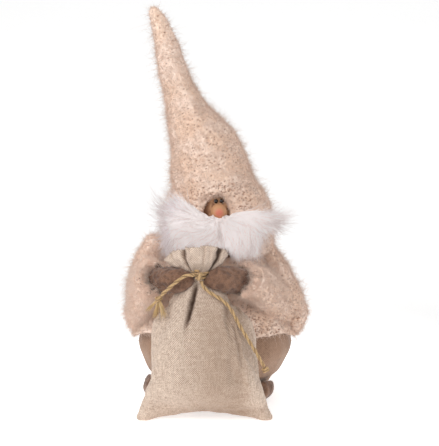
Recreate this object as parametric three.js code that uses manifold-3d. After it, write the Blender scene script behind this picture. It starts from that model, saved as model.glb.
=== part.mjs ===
// A standing tomte: a round stuffed body in linen, a coat and a tall hat in bouclé knit, a white fur beard,
// and a linen sack tied with jute cord that two felt mittens hold. A wire lets the hat bend at two places.
// Millimetres, +Z up, the front towards -Y. The origin is the centre of the flat underside, on the floor.

import * as THREE from "three";
import { mergeVertices } from "three/addons/utils/BufferGeometryUtils.js";
import Module from "manifold-3d";

// Clearances
const seamGap = 0.3; // between pieces that touch
const coatEase = 0.9; // air between the body and the coat
const sackEase = 1.1; // between the coat and the sack that leans on it
const shortestEdge = 0.04; // what a cut leaves shorter is closed up

// Body and its flat base
const baseRadius = 42;
const bodyRadius = 82;
const bodyWidestHeight = 60;
const waistRadius = 64;
const waistHeight = 108;
const chestRadius = 48;
const chestHeight = 142;
const neckRadius = 24;
const coverThickness = 2;
const basePanelThickness = 1.2;
const baseBoardThickness = 3;
const weightBagRadius = 46;
const weightBagHeight = 28;

// Coat
const coatThickness = 5;
const hemHeight = 63;
const hemFlare = 1.5;
const hemFoldDepth = 3.5;
const hemFoldCount = 7;
const collarHeight = 155;

// Feet
const footLength = 66;
const footWidth = 41;
const footHeight = 31;
const footSpacing = 97;
const footShift = -6.5; // the middle of the pair, across
const footSetback = 33; // how far the feet's middles are in front of the body's axis
const footToeOut = 12; // degrees
const soleDepth = 0.6; // how deep each foot is pressed flat on the floor

// Head and face
const headRadius = 50;
const headHalfHeight = 41;
const headHeight = 201;
const skinThickness = 1.5;
const noseDiameter = 18;
const noseShift = 4;
const noseRise = 11; // over the head's middle
const eyeDiameter = 4.6;
const eyeSpacing = 6;
const eyeRise = 9; // over the nose's middle

// Hat, along a leaning line with two bends. Each rise is from the place before it, and each shift is from
// the body's axis, across.
const hatThickness = 4;
const hatHemRadius = 61;
const hatHemHeight = 158;
const brimRadius = 58;
const brimRise = 45;
const crownRadius = 47;
const crownRise = 27;
const slopeRadius = 38;
const slopeRise = 42;
const slopeShift = -9;
const lowBendRadius = 25.5;
const lowBendRise = 34;
const lowBendShift = -25.5;
const highBendRadius = 15.5;
const highBendRise = 53;
const highBendShift = -45.5;
const tipRadius = 8.5;
const tipRise = 60;
const tipShift = -66;
const lowFoldLength = 22; // the stretch of knit that creases at the low bend
const highFoldLength = 14;
const faceOpeningWidth = 34;
const browRise = 8; // of the face opening's top over the eyes' middles
const wireDiameter = 2;
const wireFlex = 1.2; // bare wire at a bend

// Beard and moustache
const moustacheHalfHeight = 15;
const moustacheHalfDepth = 9;
const moustacheRise = 3; // over the head's middle
const moustacheParting = 4; // from the nose's middle, across, to where each side starts
const leftTipReach = 64;
const rightTipReach = 84;
const beardHalfWidth = 51;
const beardHalfHeight = 23;
const beardHalfDepth = 9;
const beardDrop = 13; // under the head's middle

// Arms
const shoulderHeight = 149;
const leftShoulderReach = 58;
const rightShoulderReach = 49;
const elbowHeight = 95;
const elbowReach = 85;
const elbowSetback = 18; // how far the elbows are in front of the body's axis
const shoulderRadius = 20;
const sleeveHalfWidth = 24; // of the flattened upper sleeve, front to back
const sleeveHalfDepth = 13; // across
const wristRadius = 17.5;
const sleeveThickness = 5;
const cuffThickness = 7;
const mittenLength = 52;
const mittenHalfHeight = 14.5;
const mittenHalfDepth = 12.5;
const mittenGap = 2.6; // from the sack's neck, across, to each mitten's tip
const handHeight = 146;
const cuffReach = 52; // from the sack's neck to the middle of each cuff

// Sack
const sackShift = -11; // the sack's middle, across
const earHalfWidth = 72;
const sackHalfWidth = 57;
const sackHalfDepth = 29;
const sackShoulderHeight = 108;
const sackNeckHeight = 155;
const sackNeckRadius = 7.5;
const sackNeckShift = -16;
const sackLean = 31; // how much further back the neck is than the bottom
const sackArch = 8; // the middle of the bottom seam over the floor
const sackClothThickness = 1.5;
const frillHeight = 27;
const frillHalfWidth = 35;
const frillHalfDepth = 15;
const frillLean = -5; // how far the frill's rim is shifted across
const frillFoldCount = 6;
const frillFoldDepth = 0.3; // of the frill's reach

// Jute cord
const cordDiameter = 3.8;
const windingTurns = 2;
const windingGap = 0.6; // between turns
const knotRadius = 5;
const endKnotRadius = 4.2;
const cordLeftRoute = [
  [-21.4, -107.0, 156.4],
  [-24.4, -106.6, 156.8],
  [-27.5, -106.4, 156.6],
  [-30.5, -106.6, 155.7],
  [-33.5, -107.0, 154.2],
  [-36.7, -107.4, 152.0],
  [-40.0, -107.6, 149.4],
  [-42.3, -107.4, 147.4],
  [-44.6, -107.0, 145.2],
  [-46.8, -106.4, 143.0],
  [-48.8, -105.9, 141.0],
  [-50.8, -105.4, 139.0],
  [-52.6, -104.9, 137.3],
  [-54.0, -104.4, 135.6],
  [-55.4, -104.0, 133.9],
];
const cordRightRoute = [
  [-14.1, -106.5, 150.0],
  [-13.5, -106.1, 147.4],
  [-12.4, -105.9, 145.0],
  [-9.0, -105.8, 140.8],
  [-4.2, -106.5, 137.2],
  [1.5, -107.4, 134.0],
  [8.5, -108.8, 129.5],
  [14.8, -110.8, 123.4],
  [18.7, -113.3, 118.0],
  [22.2, -116.1, 111.9],
  [25.5, -118.1, 106.0],
  [29.1, -119.4, 100.1],
  [33.4, -120.0, 92.8],
  [37.6, -119.8, 85.7],
  [40.8, -119.2, 80.1],
  [43.8, -118.2, 74.6],
  [46.0, -117.6, 70.4],
  [48.0, -117.0, 66.4],
  [50.8, -116.2, 61.0],
];
const endKnots = { left: [-58.2, -103.2, 130.3], right: [52.6, -115.7, 57.1] };
const tailEnds = [
  [-72.0, -104.5, 116.4],
  [-63.4, -109.6, 108.6],
  [-50.4, -116.8, 111.4],
];
const tailRadius = 1.6;

const wasm = await Module();
wasm.setup();
const { Vector2, Vector3, MathUtils } = THREE;
const degree = Math.PI / 180;
const across = new Vector3(1, 0, 0);
const up = new Vector3(0, 0, 1);

// Turns a closed geometry into a solid for cutting and joining.
function solid(geometry) {
  const plain = geometry.clone();
  plain.deleteAttribute("normal");
  plain.deleteAttribute("uv");
  const merged = mergeVertices(plain, 1e-4);
  const vertProperties = merged.attributes.position.array;
  const triVerts = new Uint32Array(merged.index.array);
  return new wasm.Manifold(new wasm.Mesh({ numProp: 3, vertProperties, triVerts }));
}

function cut(body, ...neighbours) {
  return neighbours.reduce((left, other) => left.subtract(other), body);
}

// The largest body that a cut leaves, without crumbs.
function largest(body) {
  return body.decompose().sort((a, b) => b.volume() - a.volume())[0];
}

// The triangles of a solid, with each edge that is too short drawn together into one point.
function geometryOf(body) {
  const { vertProperties, triVerts } = body.getMesh();
  const corner = (i) => new Vector3().fromArray(vertProperties, 3 * i);
  const merged = Array.from({ length: vertProperties.length / 3 }, (_, i) => i);
  const rootOf = (i) => (merged[i] === i ? i : rootOf(merged[i]));
  const triangles = [];
  for (let i = 0; i < triVerts.length; i += 3) triangles.push([...triVerts.slice(i, i + 3)]);
  for (const [a, b, c] of triangles) {
    for (const [from, to] of [[a, b], [b, c], [c, a]]) {
      if (corner(from).distanceTo(corner(to)) < shortestEdge) merged[rootOf(from)] = rootOf(to);
    }
  }
  const kept = triangles.map((triangle) => triangle.map(rootOf)).filter((t) => new Set(t).size === 3);
  const geometry = new THREE.BufferGeometry();
  geometry.setAttribute("position", new THREE.BufferAttribute(new Float32Array(vertProperties), 3));
  geometry.setIndex(kept.flat());
  geometry.computeVertexNormals();
  return geometry;
}

// Moves every vertex of a geometry by a function.
function reshape(geometry, move) {
  const position = geometry.attributes.position;
  const point = new Vector3();
  for (let i = 0; i < position.count; i++) {
    point.fromBufferAttribute(position, i);
    move(point);
    position.setXYZ(i, point.x, point.y, point.z);
  }
  return geometry;
}

// A solid of revolution about Z, from an outline of (radius, height) points that runs upwards.
function turned(outline, sides) {
  return new THREE.LatheGeometry(outline, sides).rotateX(Math.PI / 2);
}

function disc(radius, bottom, top, sides = 24) {
  const outline = [[0, bottom], [radius, bottom], [radius, top], [0, top]];
  return solid(turned(outline.map(([r, z]) => new Vector2(r, z)), sides));
}

function ellipsoid(centre, x, y, z, sides = 24, rings = 12) {
  const skin = new THREE.SphereGeometry(1, sides, rings).rotateX(Math.PI / 2).scale(x, y, z);
  return solid(skin.translate(centre.x, centre.y, centre.z));
}

function ball(centre, radius, sides = 16, rings = 10) {
  return ellipsoid(centre, radius, radius, radius, sides, rings);
}

// Everything beyond a plane.
function beyond(point, normal) {
  const size = 1000;
  const block = new THREE.BoxGeometry(size, size, size).translate(0, 0, size / 2);
  block.applyQuaternion(new THREE.Quaternion().setFromUnitVectors(up, normal));
  return solid(block.translate(point.x, point.y, point.z));
}

// A stuffed shape along a smooth line through stations of {at, wide, deep}. Wide is its half size towards
// `side`, and deep is its half size square to that. Each end is rounded over its share of the length and
// moved outwards by its distance in `ends`.
function stuffed(stations, side, form) {
  const { grow = 0, sides = 16, rings = 10, round = [0.3, 0.3], ends = [grow, grow] } = form;
  const line = new THREE.CatmullRomCurve3(stations.map((s) => s.at));
  const sizes = new THREE.CatmullRomCurve3(stations.map((s) => new Vector3(s.wide, s.deep ?? s.wide, 0)));
  const outline = [new Vector2(0, 0)];
  for (let i = 0; i <= rings; i++) outline.push(new Vector2(1, (1 - Math.cos((Math.PI * i) / rings)) / 2));
  outline.push(new Vector2(0, 1));
  const narrowest = 0.1;
  const rounding = (share, over) => (share < over ? Math.sqrt(1 - (1 - share / over) ** 2) : 1);
  return reshape(new THREE.LatheGeometry(outline, sides), (point) => {
    const share = MathUtils.clamp(point.y, 0, 1);
    const along = line.getTangent(share);
    const wideWay = side.clone().addScaledVector(along, -side.dot(along)).normalize();
    const deepWay = along.clone().cross(wideWay);
    const taper = rounding(share, round[0]) * rounding(1 - share, round[1]);
    const half = sizes.getPoint(share);
    const end = (share < 0.5 ? ends[0] : ends[1]) * (2 * share - 1) ** 5;
    const wide = point.z * Math.max(narrowest, half.x * taper + grow);
    const deep = point.x * Math.max(narrowest, half.y * taper + grow);
    point.copy(line.getPoint(share)).addScaledVector(along, end);
    point.addScaledVector(wideWay, wide).addScaledVector(deepWay, deep);
  });
}

// A round tube along a curve, with flat ends.
function tube(curve, radius, steps, sides) {
  const section = new THREE.Shape().absarc(0, 0, radius, 0, 2 * Math.PI);
  const settings = { extrudePath: curve, steps, curveSegments: sides / 2, bevelEnabled: false };
  return solid(new THREE.ExtrudeGeometry(section, settings));
}

// Body: half sections from the floor to the neck, where the head sits
const bodySides = 24;
const bodyRings = 8;
const bodyHeight = headHeight - headHalfHeight - seamGap;
const bodyCurve = new THREE.SplineCurve([
  new Vector2(baseRadius, 0),
  new Vector2((baseRadius + 3 * bodyRadius) / 4, 0.3 * bodyWidestHeight),
  new Vector2(bodyRadius, bodyWidestHeight),
  new Vector2(waistRadius, waistHeight),
  new Vector2(chestRadius, chestHeight),
  new Vector2(neckRadius, bodyHeight),
]);
const bodySection = bodyCurve.getPoints(bodyRings);

// The body's section moved outwards by a distance.
function sectionAt(distance) {
  return bodySection.map((point, i) => {
    const before = bodySection[Math.max(i - 1, 0)];
    const after = bodySection[Math.min(i + 1, bodyRings)];
    const run = after.clone().sub(before).normalize();
    return new Vector2(point.x + run.y * distance, point.y - run.x * distance);
  });
}

function bodySolid(distance) {
  const section = sectionAt(distance);
  const bottom = Math.max(0, -distance);
  const top = bodyHeight + distance;
  const wall = section.filter((point) => point.y > bottom && point.y < top);
  const outline = [
    new Vector2(0, bottom),
    new Vector2(radiusOf(section, bottom), bottom),
    ...wall,
    new Vector2(radiusOf(section, top), top),
    new Vector2(0, top),
  ];
  return solid(turned(outline, bodySides));
}

// The radius of a section at a height.
function radiusOf(section, height) {
  const above = section.findIndex((point, i) => i > 0 && point.y >= height);
  const i = above < 1 ? section.length - 1 : above;
  const share = MathUtils.clamp((height - section[i - 1].y) / (section[i].y - section[i - 1].y), -1, 2);
  return MathUtils.lerp(section[i - 1].x, section[i].x, share);
}

const panelRadius = baseRadius - coverThickness - seamGap;
const boardBottom = basePanelThickness + seamGap;
const boardTop = boardBottom + baseBoardThickness;
const basePanel = disc(panelRadius, 0, basePanelThickness);
const baseBoard = disc(panelRadius, boardBottom, boardTop);
const baseHole = disc(baseRadius - coverThickness, -1, boardTop + seamGap);
const bodyCover = cut(bodySolid(0), bodySolid(-coverThickness), baseHole);
const weightCentre = new Vector3(0, 0, boardTop + seamGap + weightBagHeight / 2);
const weightSpace = (grow) =>
  ellipsoid(weightCentre, weightBagRadius + grow, weightBagRadius + grow, weightBagHeight / 2 + grow, 16, 8);
const weightBag = weightSpace(0);
const aboveBoard = beyond(new Vector3(0, 0, boardTop + seamGap), up);
const bodyFilling = largest(
  cut(bodySolid(-coverThickness - seamGap).intersect(aboveBoard), weightSpace(seamGap)),
);

// Coat: a tube of knit from the collar to a hem that hangs in shallow folds
const coatSides = 5 * hemFoldCount;

function hangFolds(point) {
  const radius = Math.hypot(point.x, point.y);
  if (radius < 1) return;
  const drop = MathUtils.clamp((chestHeight - point.z) / (chestHeight - hemHeight), 0, 1) ** 2;
  const angle = Math.atan2(point.y, point.x);
  const fold = (1 + Math.cos(hemFoldCount * angle + Math.sin(2 * angle))) / 2;
  const scale = 1 + (drop * (fold * hemFoldDepth + hemFlare)) / radius;
  point.x *= scale;
  point.y *= scale;
}

// The coat's section at a distance outside its lining, from the hem to the collar.
function coatEdge(distance) {
  const section = sectionAt(coatEase + distance);
  const ends = [hemHeight, collarHeight].map((height) => new Vector2(radiusOf(section, height), height));
  const wall = section.filter((point) => point.y > hemHeight + 1 && point.y < collarHeight - 1);
  return [ends[0], ...wall, ends[1]];
}

const coatOutline = [...coatEdge(coatThickness), ...coatEdge(0).reverse()];
const coatSkin = reshape(turned([...coatOutline, coatOutline[0].clone()], coatSides), hangFolds);
const coatBody = largest(cut(solid(coatSkin), bodySolid(seamGap)));

// The coat with its inside filled, grown, that neighbours are cut by.
function coatBlock(grow) {
  const edge = coatEdge(coatThickness + grow);
  edge[0].y -= grow;
  edge.at(-1).y += grow;
  const outline = [new Vector2(0, edge[0].y), ...edge, new Vector2(0, edge.at(-1).y)];
  return solid(reshape(turned(outline, coatSides), hangFolds));
}

const coatSpace = coatBlock(seamGap);
const hemRadius = coatEdge(coatThickness)[0].x + hemFlare + hemFoldDepth;

// How far in front of the body's axis the coat and the body reach at a height.
function coatFront(height) {
  const share = MathUtils.smoothstep(height, hemHeight, chestHeight);
  const body = radiusOf(sectionAt(coatEase + coatThickness), height);
  return Math.max(body + (hemRadius - coatEdge(coatThickness)[0].x) * (1 - share), 0);
}

// Feet: stuffed felt, pressed flat on the floor
function footSolid(direction) {
  const skin = new THREE.SphereGeometry(1, 16, 10).rotateX(Math.PI / 2);
  skin.scale(footWidth / 2, footLength / 2, footHeight / 2 + soleDepth);
  skin.rotateZ(direction * footToeOut * degree);
  skin.translate(footShift + (direction * footSpacing) / 2, -footSetback, footHeight / 2);
  return largest(cut(solid(skin).intersect(beyond(new Vector3(), up)), bodySolid(seamGap)));
}

// Head, nose and eyes
const headCentre = new Vector3(0, 0, headHeight);

function headSolid(grow) {
  const radius = headRadius + grow;
  return ellipsoid(headCentre, radius, radius, headHalfHeight + grow, 18, 9);
}

// A point in front of the face by a distance.
function facePoint(x, height, proud) {
  const rise = (height - headHeight) / headHalfHeight;
  const depth = headRadius * Math.sqrt(Math.max(0.1, 1 - (x / headRadius) ** 2 - rise ** 2));
  return new Vector3(x, -depth - proud, height);
}

const noseCentre = facePoint(noseShift, headHeight + noseRise, 0.3 * noseDiameter);
const nose = cut(ball(noseCentre, noseDiameter / 2, 14, 8), headSolid(seamGap));
const noseSpace = ball(noseCentre, noseDiameter / 2 + seamGap, 14, 8);

const eyeHeight = headHeight + noseRise + eyeRise;

function eyeSkin(direction, grow) {
  const centre = facePoint(noseShift + (direction * eyeSpacing) / 2, eyeHeight, 0.2 * eyeDiameter);
  return ball(centre, eyeDiameter / 2 + grow, 10, 6);
}

const eyeSolid = (direction) => cut(eyeSkin(direction, 0), headSolid(seamGap), noseSpace);

// Hat
const backwards = new Vector3(0, 1, 0);
const hatPlace = (x, z, radius) => ({ at: new Vector3(x, 0, z), wide: radius });

// The place half way between two others, where the hat is drawn in a little.
function hatMidway(low, high) {
  return { at: low.at.clone().lerp(high.at, 0.5), wide: (low.wide + 2 * high.wide) / 3 };
}

const brimHeight = hatHemHeight + brimRise;
const crownHeight = brimHeight + crownRise;
const slopeHeight = crownHeight + slopeRise;
const lowBendHeight = slopeHeight + lowBendRise;
const highBendHeight = lowBendHeight + highBendRise;
const tipHeight = highBendHeight + tipRise;
const lowBendPlace = hatPlace(lowBendShift, lowBendHeight, lowBendRadius);
const highBendPlace = hatPlace(highBendShift, highBendHeight, highBendRadius);
const tipPlace = hatPlace(tipShift, tipHeight, tipRadius);
const hatStations = [
  hatPlace(0, hatHemHeight, hatHemRadius),
  hatPlace(0, brimHeight, brimRadius),
  hatPlace(0, crownHeight, crownRadius),
  hatPlace(slopeShift, slopeHeight, slopeRadius),
  lowBendPlace,
  hatMidway(lowBendPlace, highBendPlace),
  highBendPlace,
  hatMidway(highBendPlace, tipPlace),
  tipPlace,
];
const hatLine = new THREE.CatmullRomCurve3(hatStations.map((s) => s.at));

// The hat's skin grown by a distance, with its hem moved down by another.
function hatSkin(grow, hemDrop = grow) {
  const settings = { grow, sides: 18, rings: 12, round: [0, 0.09], ends: [hemDrop, grow] };
  return solid(stuffed(hatStations, backwards, settings));
}

// A bend: where it is, the hat's direction there, and the planes that end the lengths below and above it.
function bendAt(place, foldLength) {
  const share = hatStations.indexOf(place) / (hatStations.length - 1);
  const centre = hatLine.getPoint(share);
  const along = hatLine.getTangent(share);
  const pointAt = (distance) => centre.clone().addScaledVector(along, distance);
  const above = (distance) => beyond(pointAt(distance), along);
  return { share, along, centre, half: foldLength / 2, above };
}

const lowBend = bendAt(lowBendPlace, lowFoldLength);
const highBend = bendAt(highBendPlace, highFoldLength);
const hatOutside = hatSkin(0);
const hatInside = hatSkin(-hatThickness, hatThickness);
const hatStuffing = hatSkin(-hatThickness - seamGap, hatThickness);
const hatShell = cut(hatOutside, hatInside);

// The part of a solid between two distances from bends.
function stretch(body, from, fromDistance, to, toDistance) {
  const start = from ? body.intersect(from.above(fromDistance)) : body;
  return to ? cut(start, to.above(toDistance)) : start;
}

const wireLowShare = 0.27;
const wireEndShare = 0.93;

// A length of the hat's wire between two shares of its line, with bare ends short of each bend.
function wireSolid(from, to, grow) {
  const points = [0, 1, 2, 3].map((i) => hatLine.getPoint(MathUtils.lerp(from, to, i / 3)));
  return tube(new THREE.CatmullRomCurve3(points), wireDiameter / 2 + grow, 5, 8);
}

const flexShare = wireFlex / 2 / hatLine.getLength();
const wires = [
  [wireLowShare, lowBend.share - flexShare],
  [lowBend.share + flexShare, highBend.share - flexShare],
  [highBend.share + flexShare, wireEndShare],
];
const wireSpaces = wires.map(([from, to]) => wireSolid(from, to, seamGap));

// The opening in the hat that the face looks out of, with the nose and the eyes clear of the knit
const openingShape = new THREE.Shape();
const openingSide = faceOpeningWidth / 2;
const openingBottom = hatHemHeight - hatThickness;
const openingArch = eyeHeight + browRise - openingSide;
openingShape.moveTo(-openingSide, openingBottom);
openingShape.lineTo(openingSide, openingBottom);
openingShape.lineTo(openingSide, openingArch);
openingShape.absarc(0, openingArch, openingSide, 0, Math.PI);
const openingReach = hatHemRadius + headRadius;
const openingForm = { depth: openingReach, bevelEnabled: false, curveSegments: 8 };
const openingBlock = new THREE.ExtrudeGeometry(openingShape, openingForm).rotateX(Math.PI / 2);
const opening = solid(openingBlock.translate(noseShift, 0, 0))
  .add(noseSpace)
  .add(eyeSkin(-1, seamGap))
  .add(eyeSkin(1, seamGap));

const lowStretch = (body) => stretch(body, null, 0, lowBend, -lowBend.half - seamGap);
const middleStretch = (body) =>
  stretch(body, lowBend, lowBend.half + seamGap, highBend, -highBend.half - seamGap);
const tipStretch = (body) => stretch(body, highBend, highBend.half + seamGap, null, 0);
const hatLower = largest(cut(lowStretch(hatShell), headSolid(seamGap), opening));
const upperHalf = beyond(headCentre, up);
const hatFillingLower = largest(
  cut(lowStretch(hatStuffing).intersect(upperHalf), headSolid(seamGap), opening, wireSpaces[0]),
);
const hatFoldLower = stretch(hatShell, lowBend, -lowBend.half, lowBend, lowBend.half);
const hatMiddle = middleStretch(hatShell);
const hatFillingMiddle = cut(middleStretch(hatStuffing), wireSpaces[1]);
const hatFoldUpper = stretch(hatShell, highBend, -highBend.half, highBend, highBend.half);
const hatTip = cut(tipStretch(hatOutside), wireSpaces[2]);
const hatSpace = cut(hatSkin(seamGap), opening);

const headSkin = largest(cut(headSolid(0), headSolid(-skinThickness), wireSpaces[0]));
const headFilling = largest(cut(headSolid(-skinThickness - seamGap), wireSpaces[0]));

// The cord's winding round the sack's neck, which the sack is drawn in for
const windingPitch = cordDiameter + windingGap;
const windingHeight = (windingTurns * windingPitch + cordDiameter) / 2; // half of it
const windingRadius = sackNeckRadius + cordDiameter / 2 + seamGap;

// Sack: sewn flat, full below, with two corners on the floor, drawn in at the neck and frilled above it
const sackBottomSetback = hemRadius + sackHalfDepth + seamGap;
const neck = new Vector3(sackNeckShift, sackLean - sackBottomSetback, sackNeckHeight);
const neckBottom = sackNeckHeight - windingHeight - seamGap;
const neckTop = sackNeckHeight + windingHeight + seamGap;
const bagCurve = new THREE.CatmullRomCurve3(
  [
    [earHalfWidth, 0.12 * sackHalfDepth, 0],
    [(earHalfWidth + sackHalfWidth) / 2, 0.6 * sackHalfDepth, 0.17 * sackShoulderHeight],
    [sackHalfWidth, sackHalfDepth, 0.42 * sackShoulderHeight],
    [sackHalfWidth, sackHalfDepth, 0.75 * sackShoulderHeight],
    [0.93 * sackHalfWidth, 0.8 * sackHalfDepth, sackShoulderHeight],
    [0.5 * sackHalfWidth, 0.5 * sackHalfDepth, 0.4 * sackShoulderHeight + 0.6 * neckBottom],
    [sackNeckRadius, sackNeckRadius, neckBottom],
  ].map((station) => new Vector3(...station)),
);
const bagRings = bagCurve.getPoints(9);
const frillRings = [0.2, 0.55, 1].map((share) => {
  const spread = share ** 0.7;
  const wide = MathUtils.lerp(sackNeckRadius, frillHalfWidth, spread);
  const deep = MathUtils.lerp(sackNeckRadius, frillHalfDepth, spread);
  return new Vector3(wide, deep, neckTop + share * frillHeight);
});
const allRings = [...bagRings, new Vector3(sackNeckRadius, sackNeckRadius, neckTop), ...frillRings];

// The sack's skin up to one of its rings, grown by a distance. It is pressed flat against the coat.
function sackSkin(grow, lastRing = allRings.length - 1) {
  const rings = allRings.slice(0, lastRing + 1);
  const outline = rings.map((ring, i) => new Vector2(1, i));
  const closed = [new Vector2(0, 0), ...outline, new Vector2(0, lastRing)];
  return solid(
    reshape(new THREE.LatheGeometry(closed, 5 * frillFoldCount), (point) => {
      const { x: wide, y: deep, z: height } = rings[Math.round(point.y)];
      const angle = Math.atan2(point.x, point.z);
      const out = Math.hypot(point.x, point.z);
      const open = MathUtils.clamp((height - neckTop) / frillHeight, 0, 1);
      const crease = 0.5 + 0.5 * Math.cos(frillFoldCount * angle + Math.sin(angle));
      const fold = 1 - frillFoldDepth * open ** 0.7 * crease;
      const share = Math.min(1, height / neckBottom);
      const middle = MathUtils.lerp(sackShift, sackNeckShift, share ** 2) + frillLean * open;
      const x = middle + Math.sin(angle) * out * (wide * fold + grow);
      const y = -sackBottomSetback + sackLean * share - Math.cos(angle) * out * (deep * fold + grow);
      const side = (x - sackShift) / earHalfWidth;
      const low = MathUtils.clamp(1 - height / (0.5 * sackShoulderHeight), 0, 1);
      const arch = sackArch * low * Math.max(0, 1 - 1.5 * side * side);
      const rim = 0.1 * frillHeight * open * out * Math.cos(3 * angle);
      const isEnd = point.y < 0.5 ? -1 : point.y > lastRing - 0.5 ? 1 : 0;
      const rest = coatFront(height) + sackEase - grow;
      const against = height < neckBottom ? -Math.sqrt(Math.max(0, rest ** 2 - x ** 2)) : 0;
      const end = isEnd * grow * (open > 0 ? -1 : 1);
      point.set(x, Math.min(y, against), Math.max(height + arch + rim + end, -grow));
    }),
  );
}

const sackCloth = largest(cut(sackSkin(0), sackSkin(-sackClothThickness), coatSpace));
const sackFilling = sackSkin(-sackClothThickness - seamGap, 7);
const sackSpace = sackSkin(seamGap);

const stepsPerTurn = 24;

function windingPoints() {
  const steps = windingTurns * stepsPerTurn;
  const start = sackNeckHeight - (windingTurns * windingPitch) / 2;
  const points = [];
  for (let i = 0; i <= steps; i++) {
    const angle = (2 * Math.PI * i) / stepsPerTurn - Math.PI / 2;
    const out = new Vector3(Math.cos(angle), Math.sin(angle), 0).multiplyScalar(windingRadius);
    out.z = start + (windingPitch * i) / stepsPerTurn;
    points.push(out.add(new Vector3(neck.x, neck.y, 0)));
  }
  const first = points[0].clone().addScaledVector(across, -cordDiameter);
  const last = points[steps].clone().addScaledVector(across, cordDiameter);
  return [first, ...points, last];
}

// A tube through points, whose section keeps its top towards +Z.
function coiledTube(points, radius, sides) {
  const corners = [];
  points.forEach((point, i) => {
    const before = points[Math.max(i - 1, 0)];
    const after = points[Math.min(i + 1, points.length - 1)];
    const along = after.clone().sub(before).normalize();
    const out = along.clone().cross(up).normalize();
    const rise = out.clone().cross(along);
    for (let k = 0; k < sides; k++) {
      const angle = (2 * Math.PI * k) / sides;
      const corner = point.clone().addScaledVector(out, radius * Math.cos(angle));
      corners.push(corner.addScaledVector(rise, radius * Math.sin(angle)));
    }
  });
  const index = [];
  for (let i = 0; i < points.length - 1; i++) {
    for (let k = 0; k < sides; k++) {
      const next = (k + 1) % sides;
      const [a, b, c, d] = [i * sides + k, i * sides + next, (i + 1) * sides + next, (i + 1) * sides + k];
      index.push(a, c, b, a, d, c);
    }
  }
  const end = (points.length - 1) * sides;
  for (let k = 1; k < sides - 1; k++) index.push(0, k, k + 1, end, end + k + 1, end + k);
  const geometry = new THREE.BufferGeometry().setFromPoints(corners);
  geometry.setIndex(index);
  return solid(geometry);
}

// The least gap between the winding's turns, on points of its middle line at least a half turn apart.
function leastGap(points, diameter) {
  const halfTurn = stepsPerTurn / 2;
  let least = Infinity;
  for (let i = 0; i < points.length; i++) {
    for (let k = i + halfTurn; k < points.length; k++) {
      least = Math.min(least, points[i].distanceTo(points[k]) - diameter);
    }
  }
  return least;
}

const windingLine = windingPoints();
const winding = coiledTube(windingLine, cordDiameter / 2, 6);
console.log("least gap between turns of the winding, mm:", leastGap(windingLine, cordDiameter).toFixed(2));
const windingBlock = disc(windingRadius + cordDiameter / 2 + seamGap, neckBottom, neckTop, 20);
const windingSpace = windingBlock.translate([neck.x, neck.y, 0]);

// The knot at the neck, in front of the winding
const knotSetback = windingRadius + cordDiameter / 2 + seamGap + knotRadius;
const knotCentre = new Vector3(neck.x, neck.y - knotSetback, sackNeckHeight);
const knotSpace = ball(knotCentre, knotRadius + seamGap, 12, 8);
const cordKnot = ball(knotCentre, knotRadius, 12, 8);

// Arms: from each shoulder round the elbow to the sack's neck
const directionOf = { left: -1, right: 1 };
const shoulderReach = { left: leftShoulderReach, right: rightShoulderReach };
const wristPoint = (side) =>
  new Vector3(neck.x + directionOf[side] * cuffReach, neck.y + 0.25 * mittenLength, handHeight - 3);

// The stations of the upper arm, which hangs past the elbow, and of the forearm.
function armStations(side) {
  const direction = directionOf[side];
  const shoulder = new Vector3(direction * shoulderReach[side], 0, shoulderHeight);
  const elbow = new Vector3(direction * elbowReach, -elbowSetback, elbowHeight);
  const wrist = wristPoint(side);
  const upper = shoulder.clone().lerp(elbow, 0.5).addScaledVector(across, 0.07 * direction * elbowReach);
  const low = elbow.clone().addScaledVector(up, -sleeveHalfWidth);
  const forearm = elbow.clone().lerp(wrist, 0.5).addScaledVector(up, -0.1 * (wrist.z - elbow.z));
  return {
    upper: [
      { at: shoulder, wide: shoulderRadius, deep: shoulderRadius },
      { at: upper, wide: sleeveHalfDepth, deep: sleeveHalfWidth },
      { at: elbow, wide: sleeveHalfDepth, deep: sleeveHalfWidth },
      { at: low, wide: sleeveHalfDepth, deep: 0.9 * sleeveHalfWidth },
    ],
    forearm: [
      { at: elbow, wide: sleeveHalfDepth, deep: 0.9 * sleeveHalfWidth },
      { at: forearm, wide: (sleeveHalfDepth + wristRadius) / 2, deep: (sleeveHalfWidth + wristRadius) / 2 },
      { at: wrist, wide: wristRadius, deep: wristRadius },
    ],
  };
}

// The sleeve's outside, or its inside where it is shrunk by the knit's thickness.
function limb(side, shrink, wristEnd) {
  const { upper, forearm } = armStations(side);
  const settings = { grow: -shrink, sides: 10, rings: 6 };
  const long = stuffed(upper, across, { ...settings, round: [0.3, 0.3] });
  const short = stuffed(forearm, across, { ...settings, round: [0.25, 0], ends: [-shrink, wristEnd] });
  return solid(long).add(solid(short));
}

const forearmWay = (side) => {
  const [, bend, wrist] = armStations(side).forearm;
  return wrist.at.clone().sub(bend.at).normalize();
};

function mittenSkin(side, grow) {
  const wrist = wristPoint(side);
  const reach = directionOf[side] * mittenGap;
  const tip = new Vector3(neck.x + reach, neck.y - 0.15 * mittenLength, handHeight + 2);
  const middle = wrist.clone().lerp(tip, 0.5).add(new Vector3(0, -0.06 * mittenLength, 1));
  const stations = [
    { at: wrist, wide: 0.8 * mittenHalfHeight, deep: 0.8 * mittenHalfDepth },
    { at: middle, wide: mittenHalfHeight, deep: mittenHalfDepth },
    { at: tip, wide: 0.85 * mittenHalfHeight, deep: 0.85 * mittenHalfDepth },
  ];
  return solid(stuffed(stations, up, { grow, sides: 12, rings: 8, round: [0.2, 0.35] }));
}

// The cord's free ends, over the left mitten and down the front of the sack
const pointsOf = (route) => route.map((place) => new Vector3(...place));

function cordSolid(route, grow) {
  const line = new THREE.CatmullRomCurve3(pointsOf(route));
  const steps = Math.round(line.getLength() / (2.5 * cordDiameter));
  return tube(line, cordDiameter / 2 + grow, steps, 8);
}

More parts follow.
